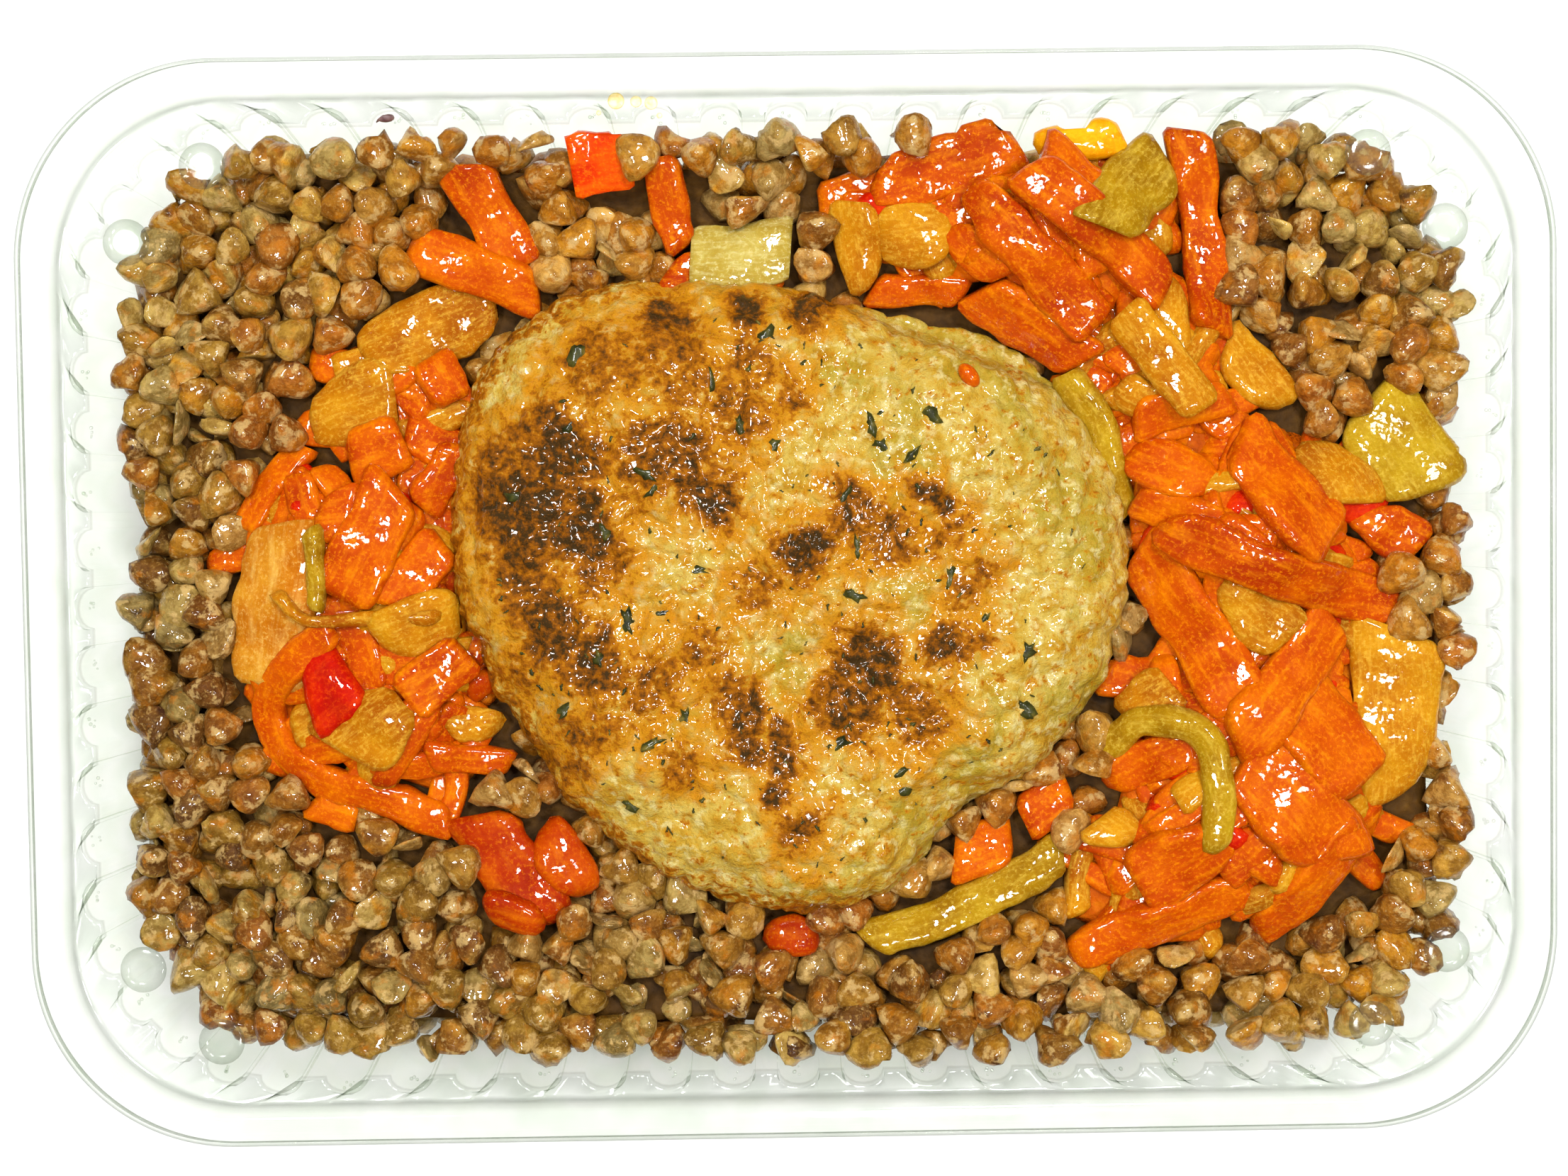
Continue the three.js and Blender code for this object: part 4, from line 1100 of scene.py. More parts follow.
RIGHT_HEAP = [
    ("leek", 8.7, 1, [(11, 44.5), (21, 45)]),
    ("carrot", 3.7, 1, [(10.5, 38.5), (22.5, 38.5)], -1.2),
    ("carrot", 7.3, 0, [(10.5, 50), (28.5, 56)]),
    ("carrot", 6, 1, [(22.5, 50), (38, 32.5)]),
    ("carrot", 6, 1, [(29.5, 52.5), (47, 37)]),
    ("carrot", 5.8, 0, [(31.5, 54.5), (43, 44)]),
    ("green_pepper", 8.7, 1, [(38, 45), (47, 53.5)]),
    ("leek", 5.3, 1, [(41.5, 35), (51, 22.5)], 1.2),
    ("green_pepper", 4.1, 1, [(35, 27.5), (39, 19), (42, 9)]),
    ("carrot", 6.3, 0, [(23.5, 37.5), (37, 29)]),
    ("leek", 6.6, 0, [(55, 31.5), (62.5, 23)]),
    ("leek", 8.2, 0, [(66, 18.5), (70.5, 10.5)]),
    ("carrot", 8.2, 1, [(55.5, 19), (67, 6)]),
    ("carrot", 7.3, 1, [(42.5, 17.5), (52, 13)]),
    ("carrot", 4.8, 1, [(43, 11.5), (53, 8.5)], -1),
    ("carrot", 5.8, 2, [(45.5, 8), (61, 2), (77.5, -2.5)]),
    ("carrot", 7.3, 1, [(44, 6), (55.5, -14)]),
    ("leek", 7.7, 1, [(53.5, 1), (62, -6)]),
    ("carrot", 5.8, 0, [(71.5, 9.5), (79, 5)]),
    ("carrot", 7.3, 2, [(68, -3.5), (54.5, -19)], -0.6),
    ("green_pepper", 3.9, 2, [(38.5, -21), (43.5, -16), (50.5, -18), (52.5, -25), (52, -32.5)]),
    ("carrot", 10.6, 0, [(57, -19), (67, -34)]),
    ("carrot", 9.7, 0, [(61, -12.5), (71, -24)]),
    ("carrot", 7.7, 1, [(42.5, -36.5), (53, -30)]),
    ("carrot", 5.3, 1, [(34.5, -46), (57, -37)], -0.8),
    ("carrot", 5.8, 1, [(58, -43.5), (70.5, -30)], -0.8),
    ("leek", 5.8, 0, [(38, -28.5), (42.5, -31.5)], 1),
    ("carrot", 5.8, 0, [(29, -29), (34.5, -24.5)]),
    ("carrot", 6, 0, [(20, -33.5), (27.5, -30.5)]),
    ("leek", 6, 1, [(47.5, -12), (41.5, -15.5)]),
]
# Low beds of shreds that fill the heaps under the pieces that show: width, and where a bed runs
LEFT_BEDS = [
    (12.6, [(-51.5, 28), (-46, 17.5)]), (15.5, [(-63.5, 8), (-45, 4.5)]), (15.5, [(-64, -3), (-43, -8)]),
    (10.6, [(-61, -13.5), (-44, -19.5)]),
]
RIGHT_BEDS = [
    (11.6, [(13, 46), (46, 49)]), (15, [(29, 46), (48, 26.5)]), (20, [(44, 25), (62, 5)]),
    (22, [(60, 10), (63, -30)]), (13, [(65, -30), (40.5, -38.5)]), (12, [(51, -12), (45, -33.5)]),
]
BED_AREA_EACH = 10
HEAPS = {"vegetables_left": LEFT_BEDS, "vegetables_right": RIGHT_BEDS}
PILES = {"pepper_petals": PETALS, "vegetables_left": LEFT_HEAP, "vegetables_right": RIGHT_HEAP}
LOOSE_SINK = 1.1
HEAP_SINK = 1.55
SHRED_SINK = 2.2
SHRED_THICK = 2.0
SHRED_WIDTHS = (2.4, 5.2)
SHRED_HALVES = (3.5, 7.5)
SHRED_BEND = 0.25
SHRED_KINDS = {"carrot": 0.74, "leek": 0.2, "red_pepper": 0.06}
BED_ROUND_END = 0.5
PAST_BED_END = 0.2
BED_SIDE = 0.42

# The sauce's sheet: its rings, its edge, and its height over the mound
SAUCE_SIDES = 72
SAUCE_RINGS = 14
SAUCE_UNDERSIDE = [(0.9, 1), (0.3, 1)]
SAUCE_EDGE = 0.86
SAUCE_EDGE_SIZE = 9
SAUCE_EDGE_WAVE = (0.14, 4, 61)
SAUCE_LOW = 0.8
SAUCE_SWELL = 1.5
SAUCE_WAVE = (0.5, 3.4, 62)
SAUCE_DEEP = 2
SAUCE_SOFT = 0.6
SAUCE_CARRIES = 11


# A bed's start, length, direction along it and direction across it
def bed_line(ends):
    start, end = np.array(ends)
    length = np.linalg.norm(end - start)
    way = (end - start) / length
    return start, length, way, np.array([-way[1], way[0]])


# Short shreds in all directions over the beds of one heap
def bed_shreds(beds):
    shreds = []
    for wide, ends in beds:
        start, length, way, side = bed_line(ends)
        for _ in range(int(wide * (length + BED_ROUND_END * wide) / BED_AREA_EACH)):
            along = rng.uniform(-PAST_BED_END * wide, length + PAST_BED_END * wide)
            centre = start + way * along - side * rng.uniform(-BED_SIDE, BED_SIDE) * wide
            turn = rng.uniform(0, math.pi)
            half = rng.uniform(*SHRED_HALVES)
            reach = np.array([math.cos(turn), math.sin(turn)]) * half
            bend = np.array([-reach[1], reach[0]]) * rng.uniform(-SHRED_BEND, SHRED_BEND)
            kind = rng.choice(list(SHRED_KINDS), p=list(SHRED_KINDS.values()))
            places = [centre - reach, centre + bend, centre + reach]
            shreds.append((kind, rng.uniform(*SHRED_WIDTHS), 0, places))
    return shreds


# A low sheet of sauce over each bed, swollen in its middle and uneven at its edge
def make_sauce(node, beds, material):
    parts = []
    angle = circle(SAUCE_SIDES)
    spread = [((number + 1) / SAUCE_RINGS, 0) for number in range(SAUCE_RINGS)]
    for wide, ends in beds:
        start, length, way, side = bed_line(ends)
        around = level(np.cos(angle), np.sin(angle), length) * SAUCE_EDGE_SIZE
        reach = wide / 2 * (SAUCE_EDGE + layered(around, SAUCE_EDGE_WAVE))
        far = np.where(np.cos(angle) > 0, length, 0)
        rings = []
        for share, under in spread + SAUCE_UNDERSIDE:
            u = far * share + (length / 2) * (1 - share) + share * reach * np.cos(angle)
            v = share * reach * np.sin(angle)
            x = start[0] + way[0] * u + side[0] * v
            y = start[1] + way[1] * u + side[1] * v
            ground = mound_height(x, y)
            top = ground - SAUCE_LOW + SAUCE_SWELL * (1 - share ** 4) + layered(level(x, y, 0), SAUCE_WAVE)
            rings.append(np.stack([x, y, np.where(under, ground - SAUCE_DEEP, top)], axis=-1))
        points = kept_inside(np.array(rings))
        upper = points[:SAUCE_CARRIES]
        settled.put(upper[..., 0], upper[..., 1], upper[..., 2] - SAUCE_SOFT)
        parts.append(loft(points))
    add_piece(node + "_sauce", parts, material, replaces=[node])


def make_vegetables(materials):
    for node, beds in HEAPS.items():
        make_sauce(node, beds, materials["sauce"])
    rows = [(node, row, SHRED_THICK) for node, beds in HEAPS.items() for row in bed_shreds(beds)]
    shown = list(LOOSE.items()) + [(node, row) for node, pile in PILES.items() for row in pile]
    for layer in range(LAYERS):
        rows += [(name, row, None) for name, row in shown if row[2] == layer]
    parts = {}
    for name, row, thick in rows:
        kind, wide, layer, places = row[:4]
        lift = row[4] if len(row) > 4 else 0.0
        sink = SHRED_SINK if thick else HEAP_SINK if name in HEAPS else LOOSE_SINK
        parts.setdefault((name, kind), []).append(strip(kind, wide, places, lift, sink, thick))
    for (node, kind), cuts in parts.items():
        add_piece(f"{node}_{kind}_cuts", cuts, materials[kind], STRIP_CHANNELS, [node])


LOOKED_GAP = 1.5


# Distance from each place to the nearest strip's edge, negative under a strip
def strip_distance(x, y):
    nearest = np.full(np.shape(x), np.inf)
    rows = list(LOOSE.values()) + PETALS + LEFT_HEAP + RIGHT_HEAP
    for row in rows:
        middle, _ = walked(row[3], LOOKED_GAP)
        distance = np.min(np.hypot(x[:, None] - middle[:, 0], y[:, None] - middle[:, 1]), axis=1)
        nearest = np.minimum(nearest, distance - row[1] / 2)
    return nearest


SCATTER_HALF = np.array([MOUND_HALF_X, MOUND_HALF_Y + 4])


# Scatters places that keep a distance from one another
def scattered(inside, spacing, tries):
    tried = rng.uniform(-1, 1, (tries, 2)) * SCATTER_HALF
    tried = tried[inside(tried[:, 0], tried[:, 1])]
    kept = np.zeros((len(tried), 2))
    count = 0
    for place in tried:
        if count and np.min(np.sum((kept[:count] - place) ** 2, axis=1)) < spacing ** 2:
            continue
        kept[count] = place
        count += 1
    return kept[:count]


GRAIN_COLOURS = [
    (srgb(158, 102, 12), 0.26), (srgb(178, 120, 18), 0.22), (srgb(160, 118, 40), 0.16),
    (srgb(126, 82, 18), 0.14), (srgb(180, 136, 48), 0.1), (srgb(164, 100, 10), 0.12),
]
PALE_GRAIN = srgb(204, 168, 84)
GREY_GRAIN = srgb(158, 134, 78)
GERM = srgb(206, 142, 24)
HILUM = srgb(66, 34, 14)
OIL_ORANGE = srgb(200, 104, 8)


# A grain's unit form: half its height, half its width, and how square, tapered and cornered it is
UNIT_HIGH = 0.47
UNIT_WIDE = 0.5
SQUARE_ENDS = 0.85
FULL_SIDES = 0.75
TAPER = 0.3
FLAT_SIDE = 0.52
BLUNT_CORNER = 0.86
ROUND_PART = 0.72
CORNERED = 0.8
ROUND_AT_ENDS = 0.35
CORNERED_WAIST = 0.65
WIDENED = 1.12
RIDGE_WIDTH = 0.22
TIP_HEIGHTS = (0.38, 0.46)


# The unit form of one boiled grain: a three-sided pyramid with a rounded base, blunt corners and a tip
def grain_form(rows, columns):
    lat = (np.arange(rows) + 1) * math.pi / (rows + 1)
    lon = np.arange(columns) * 2 * math.pi / columns
    third = 2 * math.pi / 3
    up = np.cos(lat)[:, None]
    height = UNIT_HIGH * np.sign(up) * np.abs(up) ** SQUARE_ENDS + 0 * lon
    fullness = UNIT_WIDE * np.sin(lat) ** FULL_SIDES * (1 - TAPER * np.cos(lat))
    from_corner = (lon + third / 2) % third - third / 2
    flat = FLAT_SIDE / np.cos(third / 2 - np.abs(from_corner))
    corner = np.minimum(flat, BLUNT_CORNER)
    waist = ROUND_AT_ENDS + CORNERED_WAIST * np.sin(lat)[:, None]
    three = mixed(ROUND_PART, corner, CORNERED)[None] * waist / CORNERED
    ridge = bell(from_corner, 0, RIDGE_WIDTH) * np.sin(lat)[:, None]
    radius = fullness[:, None] * three * WIDENED
    points = np.stack([radius * np.cos(lon), radius * np.sin(lon), height], axis=-1)
    return points, ridge, smoothstep(height, *TIP_HEIGHTS)


def random_turn():
    q = rng.normal(size=4)
    w, x, y, z = q / np.linalg.norm(q)
    return np.array([
        [1 - 2 * (y * y + z * z), 2 * (x * y - z * w), 2 * (x * z + y * w)],
        [2 * (x * y + z * w), 1 - 2 * (x * x + z * z), 2 * (y * z - x * w)],
        [2 * (x * z - y * w), 2 * (y * z + x * w), 1 - 2 * (x * x + y * y)],
    ])


GRAIN_LENGTH = 5.4
GRAIN_WIDTH = 5.5
OVER_FLOOR = 0.05
CENTRE_FROM_WALL = 1.0
PRESSED_IN = 0.75
GRAIN_SIZES = (0.88, 1.1)
GRAIN_WIDTHS = (0.86, 1.02)
GRAIN_TONES = (0.86, 1.14)
PALE_TONES = {"pale": (0.85, 1.05), "sliver": (0.9, 1.08)}
SLIVER_SCALE = np.array([0.8, 0.3, 1.05])
SLIVER_BEND = 1.3
SPLIT_FADE = 0.12
SPLIT_FLAT = 0.22
SPLIT_FULL = 1.1
SPLIT_PALE = (0.3, 0.9)
GERM_WIDTH = 0.09
UNIT_WRAP = 61
BROAD_DENTS = (0.15, 0.42, 11)
FINE_DENTS = (0.08, 0.17, 7)
MOTTLE_SIZE = 0.3
MOTTLE_SEEDS = (3, 5)
MOTTLE_DEPTH = 0.24
LIGHT_RIM_CHANCE = 0.65
DARK_RIM = 0.5
RIM_STRENGTH = 0.6
RIM_PATCHES = (-0.5, 0.3)
HILUM_CHANCE = 0.6
HILUM_STRENGTH = 0.85
OIL_BRIGHT = 0.6
OIL_STRENGTH = 0.45
PAINT_RANGE = (0.01, 0.95)


# One grain of a kind at a place, with its own size, turn, lumps and colours, and its colour darkened by the
# painted shade it is given
def grain(kind, centre, form, orange, dark):
    points, ridge, tip = form
    points = points.copy()
    tag = rng.integers(1 << 20)
    colour = GRAIN_COLOURS[rng.choice(len(GRAIN_COLOURS), p=[share for _, share in GRAIN_COLOURS])][0]
    colour = colour * rng.uniform(*GRAIN_TONES)
    size = rng.uniform(*GRAIN_SIZES)
    scale = np.array([GRAIN_WIDTH, GRAIN_WIDTH * rng.uniform(*GRAIN_WIDTHS), GRAIN_LENGTH]) * size
    if kind in PALE_TONES:
        colour = mixed(GREY_GRAIN, PALE_GRAIN, rng.uniform()) * rng.uniform(*PALE_TONES[kind])
    shade = np.ones(points.shape[:2])[..., None] * colour
    if kind == "split":
        cut = points[..., 1] < 0
        face = smoothstep(-points[..., 1], 0.0, SPLIT_FADE)[..., None]
        points[..., 1] *= np.where(cut, SPLIT_FLAT, SPLIT_FULL)
        inner = mixed(GREY_GRAIN, PALE_GRAIN, rng.uniform(*SPLIT_PALE))
        band = bell(points[..., 0], 0, GERM_WIDTH)[..., None]
        shade = mixed(shade, mixed(inner, GERM, band), face)
    if kind == "sliver":
        scale = scale * SLIVER_SCALE
        points[..., 1] += SLIVER_BEND * points[..., 2] ** 2
    unit = points + (tag % UNIT_WRAP)
    dents = [(amount, swell, tag % seeds) for amount, swell, seeds in (BROAD_DENTS, FINE_DENTS)]
    points = points * scale * (1 + layered(unit, *dents))[..., None]
    mottled = noise(unit, MOTTLE_SIZE, MOTTLE_SEEDS[0] + tag % MOTTLE_SEEDS[1])[..., None]
    shade = shade * (1 + MOTTLE_DEPTH * mottled)
    if kind != "sliver":
        rim_colour = PALE_GRAIN if rng.uniform() < LIGHT_RIM_CHANCE else colour * DARK_RIM
        shade = mixed(shade, rim_colour, RIM_STRENGTH * ridge[..., None] * smoothstep(mottled, *RIM_PATCHES))
        if rng.uniform() < HILUM_CHANCE:
            shade = mixed(shade, HILUM, HILUM_STRENGTH * tip[..., None])
    oiled = OIL_ORANGE * (OIL_BRIGHT + shade.mean(axis=-1, keepdims=True))
    # Painted shade: the grain's colour is darkened by the share that its place gives
    shade = mixed(shade, oiled, OIL_STRENGTH * orange) * (1 - dark)
    placed = kept_inside(points @ random_turn().T + centre)
    placed[..., 2] = np.maximum(placed[..., 2], PLASTIC + OVER_FLOOR)
    rings = np.concatenate([placed, np.clip(shade, *PAINT_RANGE)], axis=-1)
    return loft(rings[:, ::-1])


# The grains: a fine top layer, one under it, rows down the wall and a layer on the floor
FINE_FORM = (8, 21)
MEDIUM_FORM = (6, 15)
COARSE_FORM = (4, 12)
KIND_LIMITS = [("whole", 0.55), ("pale", 0.68), ("split", 0.86), ("sliver", 1)]
TRIES = 40000
TOP_SPACING = 3.45
TOP_RISE = 1.1
TOP_JITTER = (-0.5, 0.9)
CLEAR_OF_PATTY = 1.02
UNDER_SPACING = 3.7
UNDER_SINK = 1.3
UNDER_JITTER = (-0.5, 0.5)
UNDER_PATTY_EDGE = 0.96
# Painted shade for the grains under the top layer
UNDER_SHADE = 0.04
SIDE_SPACING = 4.8
SIDE_FROM_Z = 4.4
SIDE_BELOW_TOP = 2.5
SIDE_ROW = 0.86
SIDE_JITTER = 0.8
SIDE_RISE_JITTER = 0.7
SIDE_INWARD = 1.5
SIDE_UNDER_MOUND = 1.2
# Painted shade for the grains down the wall and on the floor
HIDDEN_SHADE = 0.05
FLOOR_TRIES = 24000
FLOOR_INWARD = 2.0
FLOOR_RISE = 2.7
# Painted shade that darkens the grains towards the lower left corner
CORNER_SHADE = 0.3
CORNER_FADE = (0.1, 1.2)
OIL_MOST = 0.8
OIL_FADE = (0.5, 8)
OIL_SPREAD = (0.4, 1)


def make_buckwheat(material, shaded_core_material):
    fine = grain_form(*FINE_FORM)
    medium = grain_form(*MEDIUM_FORM)
    coarse = grain_form(*COARSE_FORM)

    def in_mound(x, y):
        top = mound_height(x, y)
        return wall.outside(x, y) < wall_offset(top) - CENTRE_FROM_WALL + PRESSED_IN * flute_room(x, y)

    kinds = {kind: [] for kind, _ in KIND_LIMITS}

    def add(x, y, z, form, dark):
        near = 1 - smoothstep(strip_distance(x, y), *OIL_FADE)
        orange = OIL_MOST * near * rng.uniform(*OIL_SPREAD, len(x))
        for px, py, pz, tint in zip(x, y, z, orange):
            draw = rng.uniform()
            kind = next(name for name, limit in KIND_LIMITS if draw < limit)
            # Painted shade: darker towards the lower left corner, added to the layer's own painted shade
            shaded_by_place = dark + CORNER_SHADE * smoothstep(-px / MOUND_HALF_X - py / MOUND_HALF_Y, *CORNER_FADE)
            kinds[kind].append(grain(kind, np.array([px, py, pz]), form, tint, shaded_by_place))

    def add_layer(patty_limit, spacing, rise, jitter, form, dark):
        places = scattered(lambda x, y: in_mound(x, y) & (patty_share(x, y) > patty_limit), spacing, TRIES)
        x, y = places[~settled.taken(places[:, 0], places[:, 1])].T
        add(x, y, mound_height(x, y) + rise + rng.uniform(*jitter, len(x)), form, dark)

    add_layer(CLEAR_OF_PATTY, TOP_SPACING, TOP_RISE, TOP_JITTER, fine, 0)
    add_layer(UNDER_PATTY_EDGE, UNDER_SPACING, -UNDER_SINK, UNDER_JITTER, medium, UNDER_SHADE)
    perimeter = 4 * wall.quarter
    side = []
    for row, z in enumerate(np.arange(SIDE_FROM_Z, MOUND_TOP - SIDE_BELOW_TOP, SIDE_SPACING * SIDE_ROW)):
        stops = np.arange(0, perimeter, SIDE_SPACING) + (row % 2) * SIDE_SPACING / 2
        stops = stops + rng.uniform(-SIDE_JITTER, SIDE_JITTER, len(stops))
        x, y = wall.at(wall.keys(stops % perimeter), wall_offset(z) - SIDE_INWARD)
        heights = z + rng.uniform(-SIDE_RISE_JITTER, SIDE_RISE_JITTER, len(x))
        keep = heights < mound_height(x, y) - SIDE_UNDER_MOUND
        side.append(np.stack([x, y, heights])[:, keep])
    add(*np.concatenate(side, axis=1), coarse, HIDDEN_SHADE)
    low = wall_offset(FLOOR_CURVE_Z) - FLOOR_CURVE_INSET - FLOOR_INWARD
    x, y = scattered(lambda x, y: wall.outside(x, y) < low, SIDE_SPACING, FLOOR_TRIES).T
    add(x, y, np.full(len(x), SHEET + FLOOR_RISE), coarse, HIDDEN_SHADE)
    for kind, parts in kinds.items():
        add_piece("buckwheat_" + kind, parts, material, ("paint",), ["buckwheat"])
    make_core(shaded_core_material)


CORE_SIDES = 260
CORE_TOP_RINGS = np.linspace(0.02, 1, 60)
CORE_BOTTOM_RINGS = np.linspace(0.97, 0.04, 24)
CORE_SIDE_RINGS = 12
CORE_EDGE_INSET = 2.4
CORE_SIDE_INSET = 2.2
CORE_SINK = 1.7
CORE_EDGE_DROP = 3
CORE_BOTTOM = 2.6
CORE_LUMPS = (5.2, 51)
CORE_LUMP_HIGH = 0.9


# The heap's own core, which closes the gaps between the grains; its dark brown is painted shade for the
# grains deep in the heap
def make_core(material):
    keys = wall.keys(np.linspace(0, 4 * wall.quarter, CORE_SIDES, endpoint=False))
    rings = []
    edge_top = MOUND_TOP - LEFT_END_DROP
    x, y = wall.at(keys, wall_offset(edge_top) - GAP - CORE_EDGE_INSET)
    for share in CORE_TOP_RINGS:
        px, py = x * share, y * share
        rings.append(np.stack([px, py, mound_height(px, py) - CORE_SINK], axis=-1))
    for z in np.linspace(edge_top - CORE_EDGE_DROP, FLOOR_CURVE_Z + 1, CORE_SIDE_RINGS):
        px, py = wall.at(keys, wall_offset(z) - GAP - CORE_SIDE_INSET)
        rings.append(level(px, py, z))
    for share in CORE_BOTTOM_RINGS:
        rings.append(level(x * share, y * share, SHEET + CORE_BOTTOM))
    points = np.array(rings)
    near, _ = cells(points, *CORE_LUMPS)
    points = points + grid_normals(points) * (CORE_LUMP_HIGH * (0.5 - near))[..., None]
    add_piece("buckwheat_core", [loft(points)], material, replaces=["buckwheat"])


# The clear sheet's colours, and how milky, smeared and shiny it is from face on to edge on
MILK = (0.93, 0.95, 0.91)
SHINE = (0.95, 0.97, 0.95)
EDGE_POWER = 6.0
VEIL = (0.015, 0.1)
SMEAR = (0.06, 0.16)
SHEEN = (0.035, 0.06)


# Thin clear sheet: what is behind shows straight through it, and it turns milky where it is seen edge on. It
# is painted grey where the mesh carries painted shade.
def clear_plastic():
    s = Shading("clear_plastic")
    wave = s.bump(s.noise(9, 2), 0.1)
    edge_on = s.add("ShaderNodeLayerWeight", {"Blend": 0.5}).outputs["Facing"]
    turned = s.math("POWER", edge_on, EDGE_POWER)
    cloudy = s.ramp(s.noise(6, 3), (0.35, (253, 254, 252)), (0.65, (248, 251, 246)))
    # Painted shade: grey is mixed into what shows through where the mesh's painted shade channel is high
    tint = s.mix(s.spread(s.value("sheet_shade"), 0, 1, 0.0, 0.5), cloudy, screen(122, 128, 116))
    through = s.add("ShaderNodeBsdfTransparent", {"Color": tint}).outputs[0]
    milky = s.add("ShaderNodeBsdfDiffuse", {"Color": rgba(MILK)}).outputs[0]
    veil = s.spread(turned, 0, 1, *VEIL)
    veiled = s.add("ShaderNodeMixShader", {0: veil, 1: through, 2: milky}).outputs[0]
    smear = s.spread(s.noise(2.5, 3), 0.35, 0.7, *SMEAR)
    mirror = {"Color": rgba(SHINE), "Roughness": smear, "Normal": wave}
    gloss = s.add("ShaderNodeBsdfGlossy", mirror).outputs[0]
    shine = s.spread(turned, 0, 1, *SHEEN)
    sheet = s.add("ShaderNodeMixShader", {0: shine, 1: veiled, 2: gloss}).outputs[0]
    output = next(node for node in s.tree.nodes if node.type == "OUTPUT_MATERIAL")
    s.tree.nodes.remove(s.shader)
    s.set(output.inputs["Surface"], sheet)
    return s.material


def buckwheat_skin():
    s = Shading("buckwheat_skin")
    mottle = s.noise(1.5, 4, 0.6)
    speck = s.noise(0.45, 3, 0.6)
    deep = s.mix(s.spread(mottle, 0.4, 0.6, 0.0, 1.0), s.paint(), rgba((0.55, 0.46, 0.3)), "MULTIPLY")
    bared = s.mix(s.spread(s.noise(1.9, 4, 0.6), 0.53, 0.61, 0.0, 0.7), deep, screen(200, 166, 104))
    stained = s.mix(s.spread(s.noise(2.7, 4, 0.6), 0.55, 0.66, 0.0, 0.55), bared, screen(182, 104, 4))
    light = s.mix(s.spread(speck, 0.54, 0.7, 0.0, 0.35), stained, screen(200, 158, 84))
    wrinkle = s.bump(s.noise(1.0, 4, 0.65), 0.36)
    fine = s.bump(speck, 0.08, wrinkle)
    s.surface(
        Base_Color=light, Roughness=s.spread(speck, 0.3, 0.7, 0.4, 0.6), Specular_IOR_Level=0.15,
        Subsurface_Weight=0.06, Subsurface_Radius=(1.0, 0.7, 0.35), Subsurface_Scale=0.0008, Normal=fine,
    )
    s.coat(0.6, 0.06, 1.5, 2, 0.17)
    return s.material


# Painted shade: a dark brown that stands in for the shaded grains deep in the heap's gaps
def buckwheat_gap_shade():
    s = Shading("buckwheat_gap_shade")
    tone = s.ramp(s.noise(2.4, 4), (0.3, (50, 32, 10)), (0.6, (82, 54, 16)), (0.8, (106, 74, 26)))
    s.surface(Base_Color=tone, Roughness=0.6, Specular_IOR_Level=0.1, Normal=s.bump(s.noise(1.2, 4), 0.3))
    return s.material


def patty_skin():
    s = Shading("patty_skin")
    brown = s.value("brown")
    fibre = s.noise(1.0, 5, 0.65)
    broad = s.noise(3.6, 4, 0.6)
    patch = s.noise(2.0, 3, 0.6)
    grit = s.noise(0.35, 3, 0.6)
    cream = s.ramp(
        broad, (0.32, (168, 118, 16)), (0.45, (188, 148, 46)), (0.56, (198, 170, 80)),
        (0.68, (178, 122, 14)))
    green_part = s.math("MULTIPLY", s.value("green"), s.spread(fibre, 0.35, 0.6, 0.25, 0.75))
    cream = s.mix(green_part, cream, screen(152, 134, 32))
    pale_part = s.spread(s.noise(1.6, 4, 0.6), 0.52, 0.64, 0.0, 0.75)
    cream = s.mix(pale_part, cream, screen(214, 198, 130))
    golden = s.ramp(fibre, (0.3, (170, 100, 4)), (0.5, (194, 126, 10)), (0.7, (204, 150, 34)))
    gold_part = s.math("MULTIPLY", s.value("gold"), 0.8)
    gold_part = s.math("ADD", gold_part, s.spread(patch, 0.3, 0.7, -0.45, 0.45))
    cream = s.mix(s.spread(gold_part, 0.1, 0.75, 0.0, 0.95), cream, golden)
    torn = s.math("ADD", s.math("MULTIPLY", brown, 0.92), s.spread(fibre, 0.25, 0.75, -0.38, 0.38))
    torn = s.math("ADD", torn, s.spread(patch, 0.3, 0.7, -0.2, 0.2))
    fried = s.ramp(
        torn, (0.15, (188, 130, 14)), (0.4, (166, 98, 4)), (0.62, (138, 78, 4)), (0.82, (102, 58, 8)),
        (1.0, (62, 42, 14)))
    colour = s.mix(s.spread(torn, 0.12, 0.38), cream, fried)
    colour = s.mix(s.spread(grit, 0.6, 0.72, 0.0, 0.35), colour, screen(186, 104, 4))
    gritty = s.bump(grit, 0.12, s.bump(fibre, 0.55))
    s.surface(
        Base_Color=colour, Roughness=s.spread(s.noise(2.2, 3), 0.35, 0.65, 0.4, 0.6),
        Specular_IOR_Level=0.12,
        Subsurface_Weight=0.06, Subsurface_Radius=(1.0, 0.7, 0.3), Subsurface_Scale=0.001, Normal=gritty,
    )
    s.coat(0.5, 0.06, 1.2, 1.5, 0.13)
    return s.material


def herb_leaf():
    s = Shading("herb_leaf")
    tone = s.ramp(s.noise(1.4, 3), (0.3, (26, 28, 12)), (0.55, (60, 60, 20)), (0.75, (116, 100, 40)))
    s.surface(
        Base_Color=tone, Roughness=0.4, Specular_IOR_Level=0.15, Coat_Weight=0.4, Coat_Roughness=0.1,
        Normal=s.bump(s.noise(0.5), 0.1),
    )
    return s.material


FIBRE_STRETCH = 0.22
PIECE_APART = 0.05


